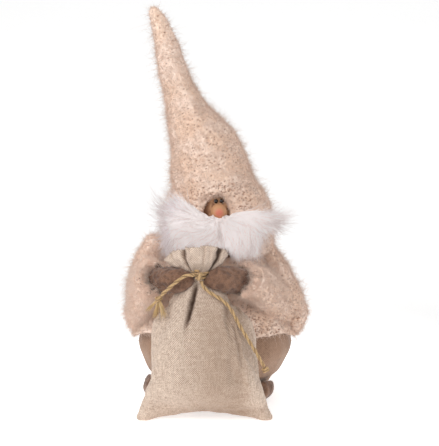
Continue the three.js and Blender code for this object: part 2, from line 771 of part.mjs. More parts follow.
const cordLeft = cordSolid(cordLeftRoute, 0);
const cordRight = cordSolid(cordRightRoute, 0);
const endKnot = (side, radius) => ball(new Vector3(...endKnots[side]), radius, 12, 8);

// The left end's knot, with the three tufts that its loose strands make.
function frayedEnd() {
  const from = new Vector3(...endKnots.left);
  return tailEnds.reduce((joined, end) => {
    const to = new Vector3(...end);
    const stations = [0, 0.5, 1].map((share) => ({ at: from.clone().lerp(to, share), wide: tailRadius }));
    return joined.add(solid(stuffed(stations, across, { sides: 6, rings: 5, round: [0, 0.4] })));
  }, endKnot("left", endKnotRadius));
}

const cordLeftKnot = largest(cut(frayedEnd(), sackSpace));
const cordRightKnot = largest(cut(endKnot("right", endKnotRadius), sackSpace));
const cordSpace = [cordSolid(cordLeftRoute, seamGap), cordSolid(cordRightRoute, seamGap)];

const neckSpace = sackSpace.add(windingSpace).add(knotSpace);
const mittenOf = (side) => largest(cut(mittenSkin(side, 0), neckSpace, ...cordSpace));
const mittens = { left: mittenOf("left"), right: mittenOf("right") };
const mittenSpaces = { left: mittenSkin("left", seamGap), right: mittenSkin("right", seamGap) };

// The knit is half as thick where a sleeve is pressed on the coat or the sack.
const pressed = (gaps) => [coatBlock, sackSkin].map((block) => block(sleeveThickness / 2 + gaps * seamGap));
const armOf = (side) => {
  const core = limb(side, sleeveThickness + seamGap, -seamGap);
  return largest(cut(core, ...pressed(2), mittenSpaces[side]));
};
const sleeveOf = (side) => {
  const bore = cut(limb(side, sleeveThickness, 1), ...pressed(1));
  return largest(cut(limb(side, 0, 0), bore, mittenSpaces[side], coatSpace, sackSpace, hatSpace));
};

// Each cuff: a ring of brushed knit round the end of the sleeve
function cuffOf(side) {
  const radius = wristRadius - 0.2 * cuffThickness;
  const ring = new THREE.TorusGeometry(radius, cuffThickness / 2, 6, 14);
  ring.applyQuaternion(new THREE.Quaternion().setFromUnitVectors(up, forearmWay(side)));
  const middle = wristPoint(side).addScaledVector(forearmWay(side), cuffThickness / 2 + seamGap);
  const body = solid(ring.translate(middle.x, middle.y, middle.z));
  return largest(cut(body, coatSpace, sackSpace, mittenSpaces[side], windingSpace));
}

// Fur
const faceFront = headRadius + moustacheHalfDepth;
const furSpace = hatSpace.add(headSolid(seamGap)).add(noseSpace).add(coatSpace);

function moustacheOf(side, reach) {
  const direction = directionOf[side];
  const start = (noseShift * direction + moustacheParting) / reach;
  const stations = [
    { share: start, front: 1.05, rise: -4, wide: 0.6, deep: 0.8 },
    { share: 0.4, front: 0.95, rise: -2, wide: 1, deep: 1 },
    { share: 0.75, front: 0.75, rise: 0, wide: 0.8, deep: 1 },
    { share: 1, front: 0.5, rise: 1, wide: 0.25, deep: 0.4 },
  ].map(({ share, front, rise, wide, deep }) => ({
    at: new Vector3(direction * share * reach, -front * faceFront, headHeight + moustacheRise + rise),
    wide: wide * moustacheHalfHeight,
    deep: deep * moustacheHalfDepth,
  }));
  return (grow) => solid(stuffed(stations, up, { grow, sides: 12, rings: 9, round: [0.15, 0.3] }));
}

const moustacheSkins = {
  left: moustacheOf("left", leftTipReach),
  right: moustacheOf("right", rightTipReach),
};
const moustacheLeft = largest(cut(moustacheSkins.left(0), furSpace));
const moustacheRight = largest(cut(moustacheSkins.right(0), furSpace, moustacheSkins.left(seamGap)));

const beardFront = headRadius + 1.2 * beardHalfDepth;
const beardHeight = headHeight - beardDrop;
const beardTurn = 0.9; // radians round the head from the middle to each end
const beardStations = [-1, -0.6, 0, 0.6, 1].map((share) => ({
  at: new Vector3(share * beardHalfWidth, -beardFront * Math.cos(share * beardTurn), beardHeight),
  wide: beardHalfHeight * (1 - 0.35 * share * share),
  deep: beardHalfDepth,
}));
const beardSkin = solid(stuffed(beardStations, up, { sides: 12, rings: 8, round: [0.2, 0.2] }));
const beard = largest(
  cut(beardSkin, furSpace, moustacheSkins.left(seamGap), moustacheSkins.right(seamGap), sackSpace),
);

// Finishes
const finish = (color, roughness, metalness = 0) =>
  new THREE.MeshStandardMaterial({ color, roughness, metalness });
const knit = finish(0xdec3ab, 0.95);
const linen = finish(0xc4a790, 0.9);
const sackLinen = finish(0xc9b29c, 0.9);
const suede = finish(0x8f6e58, 0.95);
const fur = finish(0xf0eaea, 0.8);
const jute = finish(0xc6a470, 0.85);
const skin = finish(0xb98a68, 0.8);
const noseWood = finish(0xdda070, 0.5);
const bead = finish(0x120f0e, 0.15);
const filling = finish(0xf4f2ee, 0.95);
const board = finish(0xa98f6c, 0.9);
const steel = finish(0x9a9a9a, 0.4, 1);

// A group of named meshes from {name: [body, finish]}.
function assembly(pieces) {
  const group = new THREE.Group();
  for (const [name, [body, material]] of Object.entries(pieces)) {
    const mesh = new THREE.Mesh(geometryOf(body), material);
    mesh.name = name;
    group.add(mesh);
  }
  return group;
}

const bodyGroup = assembly({
  base_panel: [basePanel, linen],
  base_board: [baseBoard, board],
  weight_bag: [weightBag, linen],
  body_filling: [bodyFilling, filling],
  body_cover: [bodyCover, linen],
  foot_left: [footSolid(-1), suede],
  foot_right: [footSolid(1), suede],
  coat_body: [coatBody, knit],
});
const headGroup = assembly({
  head_skin: [headSkin, skin],
  head_filling: [headFilling, filling],
  nose: [nose, noseWood],
  eye_left: [eyeSolid(-1), bead],
  eye_right: [eyeSolid(1), bead],
  moustache_left: [moustacheLeft, fur],
  moustache_right: [moustacheRight, fur],
  beard: [beard, fur],
});
const armGroup = assembly({
  arm_left: [armOf("left"), filling],
  arm_right: [armOf("right"), filling],
  sleeve_left: [sleeveOf("left"), knit],
  sleeve_right: [sleeveOf("right"), knit],
  cuff_left: [cuffOf("left"), knit],
  cuff_right: [cuffOf("right"), knit],
  mitten_left: [mittens.left, suede],
  mitten_right: [mittens.right, suede],
});
const sackGroup = assembly({
  sack_cloth: [sackCloth, sackLinen],
  sack_filling: [sackFilling, filling],
  cord_winding: [winding, jute],
  cord_knot: [cordKnot, jute],
  cord_left: [cordLeft, jute],
  cord_left_knot: [cordLeftKnot, jute],
  cord_right: [cordRight, jute],
  cord_right_knot: [cordRightKnot, jute],
});
const hatGroup = assembly({
  hat_lower: [hatLower, knit],
  hat_filling_lower: [hatFillingLower, filling],
  hat_wire_lower: [wireSolid(...wires[0], 0), steel],
  hat_fold_lower: [hatFoldLower, knit],
  hat_middle: [hatMiddle, knit],
  hat_filling_middle: [hatFillingMiddle, filling],
  hat_wire_middle: [wireSolid(...wires[1], 0), steel],
  hat_fold_upper: [hatFoldUpper, knit],
  hat_tip: [hatTip, knit],
  hat_wire_tip: [wireSolid(...wires[2], 0), steel],
});

const figure = new THREE.Group();
figure.add(bodyGroup, headGroup, armGroup, sackGroup, hatGroup);

export default figure;
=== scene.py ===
"""The tomte figure: knit, fur, felt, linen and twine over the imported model, in metres."""

import math

import bmesh
import bpy
import numpy as np
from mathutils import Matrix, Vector
from mathutils.kdtree import KDTree


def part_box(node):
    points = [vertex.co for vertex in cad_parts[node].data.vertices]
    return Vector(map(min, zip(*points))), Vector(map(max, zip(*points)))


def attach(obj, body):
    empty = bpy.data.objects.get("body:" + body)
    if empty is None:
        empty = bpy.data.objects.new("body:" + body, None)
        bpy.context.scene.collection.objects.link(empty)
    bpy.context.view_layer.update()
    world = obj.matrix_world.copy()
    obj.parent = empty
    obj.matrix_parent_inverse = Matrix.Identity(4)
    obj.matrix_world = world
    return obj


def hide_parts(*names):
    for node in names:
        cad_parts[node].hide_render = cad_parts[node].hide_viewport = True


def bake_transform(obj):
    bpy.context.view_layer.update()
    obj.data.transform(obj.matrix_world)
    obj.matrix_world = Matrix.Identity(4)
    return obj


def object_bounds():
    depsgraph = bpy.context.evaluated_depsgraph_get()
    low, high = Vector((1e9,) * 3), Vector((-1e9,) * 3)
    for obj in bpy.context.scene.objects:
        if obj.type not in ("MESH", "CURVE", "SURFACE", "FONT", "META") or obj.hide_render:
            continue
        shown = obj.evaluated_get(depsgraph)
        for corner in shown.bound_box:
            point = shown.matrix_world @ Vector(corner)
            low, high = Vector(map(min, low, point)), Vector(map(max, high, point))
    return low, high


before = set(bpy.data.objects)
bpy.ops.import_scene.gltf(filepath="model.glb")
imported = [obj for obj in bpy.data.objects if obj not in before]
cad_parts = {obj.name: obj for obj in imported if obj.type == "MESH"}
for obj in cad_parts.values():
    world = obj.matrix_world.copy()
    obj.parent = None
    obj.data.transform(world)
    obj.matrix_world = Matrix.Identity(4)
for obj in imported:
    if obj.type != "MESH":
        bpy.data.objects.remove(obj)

cad_box = [list(corner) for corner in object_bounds()]

mm = 0.001

# Photograph's frame
pixel_size = 1.06 * mm
frame_height_px = 446
camera_elevation = 15
camera_distance = 4.0
camera_target = Vector((4.8, 0, 183.9)) * mm
photo_origin_px = (215, 390.6)
seen_height, seen_depth = 0.9659, 0.2588  # cosine and sine of the camera's elevation
parting_px = 218.5
face_px, face_reach_px = (214, 209), (18, 15)
moustache_top_px = 207
nose_low_px = 216
fur_core_px = (170, 268)

# Where the brim, the face and the hair change, in pixels across or down the photograph
hat_left_px, hat_left_down_px = (192, 180), (90, 120)
brim_near_px, brim_far_px, brim_level_px = (221, 231), (236, 258), 204
brim_above_px, brim_below_px = (172, 190), (203, 209)
fringe_gap_px = (220, 201)
lit_left_px, lit_right_px, lit_top_px = (207, 212), (227, 231), (194, 198)
comb_level_px, comb_top_px = 213, 196
fur_end_px, fur_hem_px = (252, 284), (236, 250)
fur_raised_px, fur_raised_low_px = (204, 184), (210, 228)
fur_sunk_px, fur_sunk_low_px = (224, 232), (206, 214)
fur_flat_px, fur_flat_low_px = (222, 232), (208, 217)
fur_middle_px = 216
fur_split_px, fur_split_low_px = 219.5, 235

# The white hair's outline in the photograph, in pixels: stops, then values
fur_left_px = 164
fur_right_line = [200, 207, 213, 218, 224, 229, 232, 256], [262, 272, 284, 284, 276, 266, 260, 258]
fur_top_line = ([163, 168, 177, 194, 204.6, 211, 217, 221, 225, 232.6, 250, 275, 291],
                [204, 198, 195, 202.5, 209.5, 215, 219, 219, 213.7, 207.4, 207.4, 208.8, 212])
fur_low_line = [164, 176, 186, 228, 236, 262], [252, 252, 246, 245, 254, 254]

# How far the brim drops, in millimetres, by its place across the photograph
brim_drop_line = [195, 204, 212, 222, 231], [0, 6, 3.5, 3, 0]

# How much the hat's knit shows its holes, by its place down the photograph
hat_open_line = [0, 60, 110, 140, 172, 178, 186, 210], [0.1, 0.2, 0.25, 0.62, 0.6, 0.3, 0.95, 1.0]

# Places on the figure, in millimetres
neck_centre = np.array([-16.0, -89.0, 155.0])
knot_centre = np.array([-16.0, -106.0, 155.0])
nose_centre = np.array([4.0, -54.0, 210.4])
face_centre = np.array([4, -52, 210])
brow_centre = np.array([4, -52, 222])
sack_middle = -11
body_radius = 82
floor_gap = 0.3
box_room = 12
hat_axis = [(0, 0, 140), (0, 0, 230), (-9, 0, 272), (-25.5, 0, 306), (-45.5, 0, 359), (-66, 0, 425)]
hat_seam_height = 334
shoulders = {"left": (-58, 0, 149), "right": (49, 0, 149)}
elbows = {"left": (-85, -18, 95), "right": (85, -18, 95)}
wrists = {"left": (-68, -76, 143), "right": (36, -76, 143)}
signs = {"left": -1, "right": 1}

# Outlines in millimetres, by height, from left to right, or in degrees round the sack's neck
# The body's taper is a share of its width
hat_radii = [50, 47, 38, 25.5, 15.5, 6]
hat_slim_right = ([205, 218, 231, 258, 284, 297, 310, 323, 337, 350, 363, 380],
                  [-1.5, 1.5, 6.5, 5.0, 7.5, 8.0, 10.5, 9.0, 7.5, 6.0, 3.5, 0])
hat_slim_left = [195, 218, 235, 350, 363, 376, 389, 402, 412], [6, 5, 0, 0, 1, 2.5, 3, 3, 1]
body_taper_stops = [0, 8, 20, 33.6, 46.7]
body_taper_right = [0.97, 0.92, 0.885, 0.95, 1]
body_taper_left = [0.98, 0.94, 0.925, 0.97, 1]
sleeve_lines = {
    "left": ([-99, -93, -89, -85, -80, -72, -60, -50], [122, 144, 161, 171, 175, 177, 178, 177]),
    "right": ([20, 50, 62, 70, 78, 86, 94, 99], [157, 162, 160, 152, 141, 127, 111, 100]),
}
sleeve_base = 108
frill_top_line = ([-180, -135, -95, -60, -25, 10, 50, 80, 110, 140, 180],
                  [19, 16, 11, 22, 29, 31, 29, 21, 17, 18, 19])

# Twine
twine_radius = 1.9
twine_lay = 9.5
cord_left_route = [
    (-21.4, -107.0, 156.4), (-24.4, -106.6, 156.8), (-27.5, -106.4, 156.6), (-30.5, -106.6, 155.7),
    (-33.5, -107.0, 154.2), (-36.7, -107.4, 152.0), (-40.0, -107.6, 149.4), (-42.3, -107.4, 147.4),
    (-44.6, -107.0, 145.2), (-46.8, -106.4, 143.0), (-48.8, -105.9, 141.0), (-50.8, -105.4, 139.0),
    (-52.6, -104.9, 137.3), (-54.0, -104.4, 135.6), (-55.4, -104.0, 133.9),
]
cord_right_route = [
    (-14.1, -106.5, 150.0), (-13.5, -106.1, 147.4), (-12.4, -105.9, 145.0), (-9.0, -105.8, 140.8),
    (-4.2, -106.5, 137.2), (1.5, -107.4, 134.0), (8.5, -108.8, 129.5), (14.8, -110.8, 123.4),
    (18.7, -113.3, 118.0), (22.2, -116.1, 111.9), (25.5, -118.1, 106.0), (29.1, -119.4, 100.1),
    (33.4, -120.0, 92.8), (37.6, -119.8, 85.7), (40.8, -119.2, 80.1), (43.8, -118.2, 74.6),
    (46.0, -117.6, 70.4), (48.0, -117.0, 66.4), (50.8, -116.2, 61.0),
]
end_knots = {"left": (-58.2, -103.2, 130.3), "right": (52.6, -115.7, 57.1)}
tail_ends = [(-72.0, -104.5, 116.4), (-63.4, -109.6, 108.6), (-50.4, -116.8, 111.4)]

# Steps of the cloth simulation
cloth_steps = 20

# Hairs: radius in millimetres, and the share of it that is left near the tip
hairs_of = {
    "pile": (0.12, 0.5), "halo": (0.13, 0.6), "wisp": (0.14, 0.5), "fur": (0.19, 0.35),
    "nap": (0.07, 0.35), "fray": (0.17, 0.35), "tail": (0.52, 0.35),
}


# Arrays and meshes
def unit(rows):
    """Each row at length one."""
    return rows / np.maximum(np.linalg.norm(rows, axis=1), 1e-12)[:, None]


def waves(points, size, seed, count=16):
    """Smooth random heights around zero, mostly within one, with hills of this size."""
    draw = np.random.default_rng(seed)
    ways = unit(draw.normal(size=(count, 3)))
    turns = 2 * math.pi / size * draw.uniform(0.55, 1.3, count)
    shifts = draw.uniform(0, 2 * math.pi, count)
    return np.sin(points @ (ways * turns[:, None]).T + shifts).sum(axis=1) / math.sqrt(count)


def hill(values, centre, width):
    """A smooth hump of height one around a value."""
    return np.exp(-(((values - centre) / width) ** 2))


def ramp(values, start, end):
    """Zero before the start, one after the end, and smooth between, in either direction."""
    share = np.clip((values - start) / (end - start), 0, 1)
    return share * share * (3 - 2 * share)


def seen_at(points):
    """Where the photograph shows points, in its pixels across and down."""
    across = photo_origin_px[0] + points[..., 0] / pixel_size
    down = photo_origin_px[1] - (points[..., 2] * seen_height + points[..., 1] * seen_depth) / pixel_size
    return across, down


def shown(name, data):
    """A new object of the scene with this data."""
    made = bpy.data.objects.new(name, data)
    bpy.context.scene.collection.objects.link(made)
    return made


def piece_from(name, points, faces):
    """A new object from arrays of points and faces, all with as many corners."""
    mesh = bpy.data.meshes.new(name)
    mesh.vertices.add(len(points))
    mesh.vertices.foreach_set("co", np.asarray(points, np.float32).ravel())
    mesh.loops.add(faces.size)
    mesh.loops.foreach_set("vertex_index", faces.astype(np.int32).ravel())
    mesh.polygons.add(len(faces))
    mesh.polygons.foreach_set("loop_start", np.arange(0, faces.size, faces.shape[1], dtype=np.int32))
    mesh.update(calc_edges=True)
    return shown(name, mesh)


def rows_from(items, name):
    """Three numbers from each item of a mesh, as rows."""
    values = np.empty(len(items) * 3, np.float32)
    items.foreach_get(name, values)
    return values.reshape(-1, 3).astype(float)


def points_of(piece):
    """The piece's points as rows of three."""
    return rows_from(piece.data.vertices, "co")


def normals_of(piece):
    """The piece's outward directions as rows of three."""
    return rows_from(piece.data.vertex_normals, "vector")


def move_to(piece, points):
    """Puts the piece's points at these places."""
    piece.data.vertices.foreach_set("co", np.asarray(points, np.float32).ravel())
    piece.data.update()


def paint(piece, name, values):
    """Keeps one number for each point, for the materials."""
    layer = piece.data.attributes.get(name) or piece.data.attributes.new(name, "FLOAT", "POINT")
    layer.data.foreach_set("value", np.asarray(values, np.float32))


def apply_modifiers(piece):
    """Turns the piece's modifiers into its mesh."""
    bpy.context.view_layer.objects.active = piece
    for modifier in list(piece.modifiers):
        bpy.ops.object.modifier_apply(modifier=modifier.name)


def settle(target, **settings):
    """Sets several values of one thing."""
    for name, value in settings.items():
        setattr(target, name, value)


def modify(piece, kind, **settings):
    """Adds a modifier with its settings."""
    modifier = piece.modifiers.new(kind.lower(), kind)
    settle(modifier, **settings)
    return modifier


def refined(piece):
    """Divides the piece's faces once, smoothly, after its other modifiers."""
    modify(piece, "SUBSURF", levels=1, render_levels=1)
    apply_modifiers(piece)


def keep_largest(piece):
    """Deletes the closed bubbles inside a piece, and keeps its outer body."""
    shape = bmesh.new()
    shape.from_mesh(piece.data)
    shape.verts.ensure_lookup_table()
    unseen = set(shape.verts)
    bodies = []
    while unseen:
        front = [unseen.pop()]
        body = list(front)
        while front:
            current = front.pop()
            near = {edge.other_vert(current) for edge in current.link_edges} & unseen
            unseen -= near
            front.extend(near)
            body.extend(near)
        bodies.append(body)
    bodies.sort(key=len)
    for body in bodies[:-1]:
        bmesh.ops.delete(shape, geom=body, context="VERTS")
    shape.to_mesh(piece.data)
    shape.free()


def evened(piece, voxel, relax):
    """Gives a piece even faces of a size in millimetres, and relaxes them."""
    modify(piece, "REMESH", mode="VOXEL", voxel_size=voxel * mm)
    modify(piece, "SMOOTH", factor=0.5, iterations=relax)
    apply_modifiers(piece)


def copy_of(name, nodes, voxel, relax):
    """One closed, even mesh over the outer shape of some CAD nodes."""
    shape = bmesh.new()
    for node in nodes:
        shape.from_mesh(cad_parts[node].data)
    bmesh.ops.remove_doubles(shape, verts=shape.verts, dist=1e-6)
    mesh = bpy.data.meshes.new(name)
    shape.to_mesh(mesh)
    shape.free()
    piece = shown(name, mesh)
    evened(piece, voxel, relax)
    if len(nodes) > 1:
        keep_largest(piece)
    return piece


def cut(piece, place, way):
    """Cuts off what lies past a plane, on the side that the way points to, and closes the cut."""
    shape = bmesh.new()
    shape.from_mesh(piece.data)
    everything = shape.verts[:] + shape.edges[:] + shape.faces[:]
    made = bmesh.ops.bisect_plane(
        shape, geom=everything, plane_co=Vector(place) * mm, plane_no=way, clear_outer=True
    )
    rim = [item for item in made["geom_cut"] if isinstance(item, bmesh.types.BMEdge)]
    bmesh.ops.holes_fill(shape, edges=rim, sides=0)
    bmesh.ops.triangulate(shape, faces=[face for face in shape.faces if len(face.verts) > 4])
    shape.to_mesh(piece.data)
    shape.free()


def scattered(points, size, seed):
    """The index of one random point in each cell of about this size."""
    draw = np.random.default_rng(seed)
    order = draw.permutation(len(points))
    cells = np.floor(points[order] / size).astype(np.int64) + 2000
    keys = (cells[:, 0] * 4001 + cells[:, 1]) * 4001 + cells[:, 2]
    return order[np.unique(keys, return_index=True)[1]]


def nearest(points, centres):
    """How far each point is from its nearest centre, and which one that is."""
    tree = KDTree(len(centres))
    for index, centre in enumerate(centres):
        tree.insert(centre, index)
    tree.balance()
    found = [tree.find(point) for point in points]
    return np.array([hit[2] for hit in found]), np.array([hit[1] for hit in found])


def roots_on(piece, per_square_mm, seed):
    """Random places on a piece, evenly spread over its area, with their outward directions."""
    mesh = piece.data
    mesh.calc_loop_triangles()
    corners = np.empty(len(mesh.loop_triangles) * 3, np.int32)
    mesh.loop_triangles.foreach_get("vertices", corners)
    first, second, third = np.moveaxis(points_of(piece)[corners.reshape(-1, 3)], 1, 0)
    across = np.cross(second - first, third - first)
    areas = np.linalg.norm(across, axis=1) / 2
    draw = np.random.default_rng(seed)
    count = int(areas.sum() / mm**2 * per_square_mm)
    chosen = draw.choice(len(areas), count, p=areas / areas.sum())
    share = np.sqrt(draw.random((count, 1)))
    turn = draw.random((count, 1))
    roots = first[chosen] * (1 - share) + second[chosen] * share * (1 - turn) + third[chosen] * share * turn
    return roots, unit(across[chosen])


def faces_away(roots, normals, line):
    """Which roots look away from a line through the piece, given in millimetres."""
    stops = np.array(line, float) * mm
    best = np.full(len(roots), np.inf)
    away = np.zeros((len(roots), 3))
    for start, end in zip(stops[:-1], stops[1:]):
        length = np.linalg.norm(end - start)
        share = np.clip((roots - start) @ (end - start) / length**2, 0, 1)
        gap = roots - (start + share[:, None] * (end - start))
        nearer = np.linalg.norm(gap, axis=1) < best
        away[nearer] = gap[nearer]
        best = np.minimum(best, np.linalg.norm(gap, axis=1))
    return (unit(away) * normals).sum(axis=1) > 0.1


def spines_for(roots, ways, lengths, bend, wander, steps, draw):
    """The middle lines of hairs: straight out, then bent one way, then wandering."""
    ways = unit(ways)
    side = unit(np.cross(ways, draw.normal(size=ways.shape)))
    up = np.cross(ways, side)
    drift = draw.normal(size=(2, len(roots), 1)) * wander
    share = np.linspace(0, 1, steps + 1)[:, None, None]
    lines = ways * share + (bend + side * drift[0] + up * drift[1]) * share**2
    return np.moveaxis(roots + lengths[:, None] * lines, 0, 1)


def kept_near(spines):
    """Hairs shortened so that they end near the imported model's box and above the floor."""
    low, high = np.array(cad_box) + np.array([[-box_room * mm], [box_room * mm]])
    low[2] = floor_gap * mm
    reach = spines - spines[:, :1]
    room = np.where(reach > 0, high, low) - spines[:, :1]
    moving = np.abs(reach) > 1e-7
    share = np.where(moving, room / np.where(moving, reach, 1), 9).min(axis=(1, 2))
    return spines[:, :1] + reach * np.clip(share, 0.02, 1)[:, None, None]


def ring_ways(side, up, turns):
    """The directions round each row's axis at these angles."""
    return side[:, None] * np.cos(turns)[None, :, None] + up[:, None] * np.sin(turns)[None, :, None]


def wall_pairs(rings, sides):
    """Each pair of neighbours on every ring of a tube's wall but the last."""
    pairs = []
    for level in range(rings - 1):
        pairs += [(level * sides + corner, level * sides + (corner + 1) % sides) for corner in range(sides)]
    return pairs


def tube_wall(rings, sides):
    """The triangles of a tube's wall."""
    faces = []
    for near, far in wall_pairs(rings, sides):
        faces += [(near, far, far + sides), (near, far + sides, near + sides)]
    return faces


def strands(name, spines, kind, tones=None):
    """Closed, tapered hairs of one kind with three sides, one for each middle line."""
    radius, tip_share = hairs_of[kind]
    spines = kept_near(spines)
    count, rings = spines.shape[0], spines.shape[1] - 1
    ways = unit(spines[:, 1] - spines[:, 0])
    side = unit(np.cross(ways, np.roll(ways, 1, axis=1) + (0.3, 0.1, 0.2)))
    up = np.cross(ways, side)
    turns = np.arange(3) * 2 * math.pi / 3
    ring = ring_ways(side, up, turns)
    thickness = radius * mm * np.linspace(1, tip_share, rings)[None, :, None, None]
    body = (spines[:, :rings, None] + ring[:, None] * thickness).reshape(count, rings * 3, 3)
    points = np.concatenate([body, spines[:, rings:]], axis=1).reshape(-1, 3)
    faces = [(0, 2, 1)] + tube_wall(rings, 3)
    top = (rings - 1) * 3
    faces += [(top, top + 1, rings * 3), (top + 1, top + 2, rings * 3), (top + 2, top, rings * 3)]
    starts = np.arange(count)[:, None, None] * (rings * 3 + 1)
    piece = piece_from(name, points, (np.array(faces) + starts).reshape(-1, 3))
    if tones is None:
        tones = np.random.default_rng(count).random(count)
    paint(piece, "tone", np.repeat(tones, rings * 3 + 1))
    paint(piece, "along", np.tile(np.append(np.repeat(np.arange(rings) / rings, 3), 1), count))
    return piece


def joined(name, pieces):
    """One piece from several, which keep their attributes."""
    for piece in bpy.context.selected_objects:
        piece.select_set(False)
    for piece in pieces:
        piece.select_set(True)
    bpy.context.view_layer.objects.active = pieces[0]
    bpy.ops.object.join()
    pieces[0].name = name
    pieces[0].select_set(False)
    return pieces[0]


def smooth_line(stops, step):
    """A smooth line through stops in millimetres, as points in metres that lie this far apart."""
    stops = np.array(stops, float)
    ends = np.vstack([2 * stops[0] - stops[1], stops, 2 * stops[-1] - stops[-2]])
    share = np.linspace(0, 1, 24, endpoint=False)[:, None]
    parts = []
    for before, start, end, after in zip(ends, ends[1:], ends[2:], ends[3:]):
        parts.append(
            start
            + share * (end - before) / 2
            + share**2 * (before - 2.5 * start + 2 * end - after / 2)
            + share**3 * (1.5 * (start - end) + (after - before) / 2)
        )
    dense = np.vstack(parts + [stops[-1:]])
    along = np.concatenate([[0], np.cumsum(np.linalg.norm(np.diff(dense, axis=0), axis=1))])
    marks = np.linspace(0, along[-1], max(2, round(along[-1] / step)) + 1)
    return np.column_stack([np.interp(marks, along, dense[:, axis]) for axis in range(3)]) * mm


def twine(name, line, radius, sides=16):
    """Two plies twisted together along a line, closed at both ends."""
    ways = unit(np.gradient(line, axis=0))
    side = np.empty_like(line)
    side[0] = np.cross(ways[0], (0.2, 1, 0.1))
    side[0] /= np.linalg.norm(side[0])
    for index in range(1, len(line)):
        level = side[index - 1] - ways[index] * (side[index - 1] @ ways[index])
        side[index] = level / np.linalg.norm(level)
    up = np.cross(ways, side)
    along = np.concatenate([[0], np.cumsum(np.linalg.norm(np.diff(line, axis=0), axis=1))])
    turn = np.arange(sides) * 2 * math.pi / sides
    groove = 1 - np.abs(np.cos(turn[None] - math.pi * along[:, None] / (twine_lay * mm)))
    reach = (radius * (1 - 0.42 * groove**1.5))[..., None]
    ring = ring_ways(side, up, turn)
    points = np.vstack([(line[:, None] + ring * reach).reshape(-1, 3), line[:1], line[-1:]])
    faces = tube_wall(len(line), sides)
    last = (len(line) - 1) * sides
    for corner in range(sides):
        after = (corner + 1) % sides
        faces += [(len(points) - 2, after, corner), (len(points) - 1, last + corner, last + after)]
    piece = piece_from(name, points, np.array(faces))
    paint(piece, "groove", np.concatenate([groove.ravel(), [0, 0]]))
    return piece


def place_on(piece, finish, *nodes, body="figure"):
    """Gives a piece its finish and smooth shading, hides the nodes it stands for, and attaches it to the body
    it rides on when that is a name, else bakes its place into its mesh.
    """
    piece.data.materials.clear()
    piece.data.materials.append(finish.material)
    piece.data.shade_smooth()
    if isinstance(body, str):
        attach(piece, body)
    else:
        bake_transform(piece)
    if nodes:
        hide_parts(*nodes)
    return piece


# Shader maths
class Wire:
    """A shader value that adds, subtracts, multiplies and divides as a number does."""

    def __init__(self, finish, socket):
        self.finish = finish
        self.socket = socket

    def maths(self, operation, first, second=0.0):
        return self.finish.node("ShaderNodeMath", {"operation": operation}, {0: first, 1: second})

    def __add__(self, other):
        return self.maths("ADD", self, other)

    def __sub__(self, other):
        return self.maths("SUBTRACT", self, other)

    def __rsub__(self, other):
        return self.maths("SUBTRACT", other, self)

    def __mul__(self, other):
        return self.maths("MULTIPLY", self, other)

    def __truediv__(self, other):
        return self.maths("DIVIDE", self, other)

    __radd__ = __add__
    __rmul__ = __mul__

    def sine(self):
        return self.maths("SINE", self)

    def clear_of(self, start, end):
        """Zero before the start, one after the end, and smooth between them."""
        settings = {"interpolation_type": "SMOOTHSTEP"}
        return self.finish.node("ShaderNodeMapRange", settings, {0: self, 1: start, 2: end})


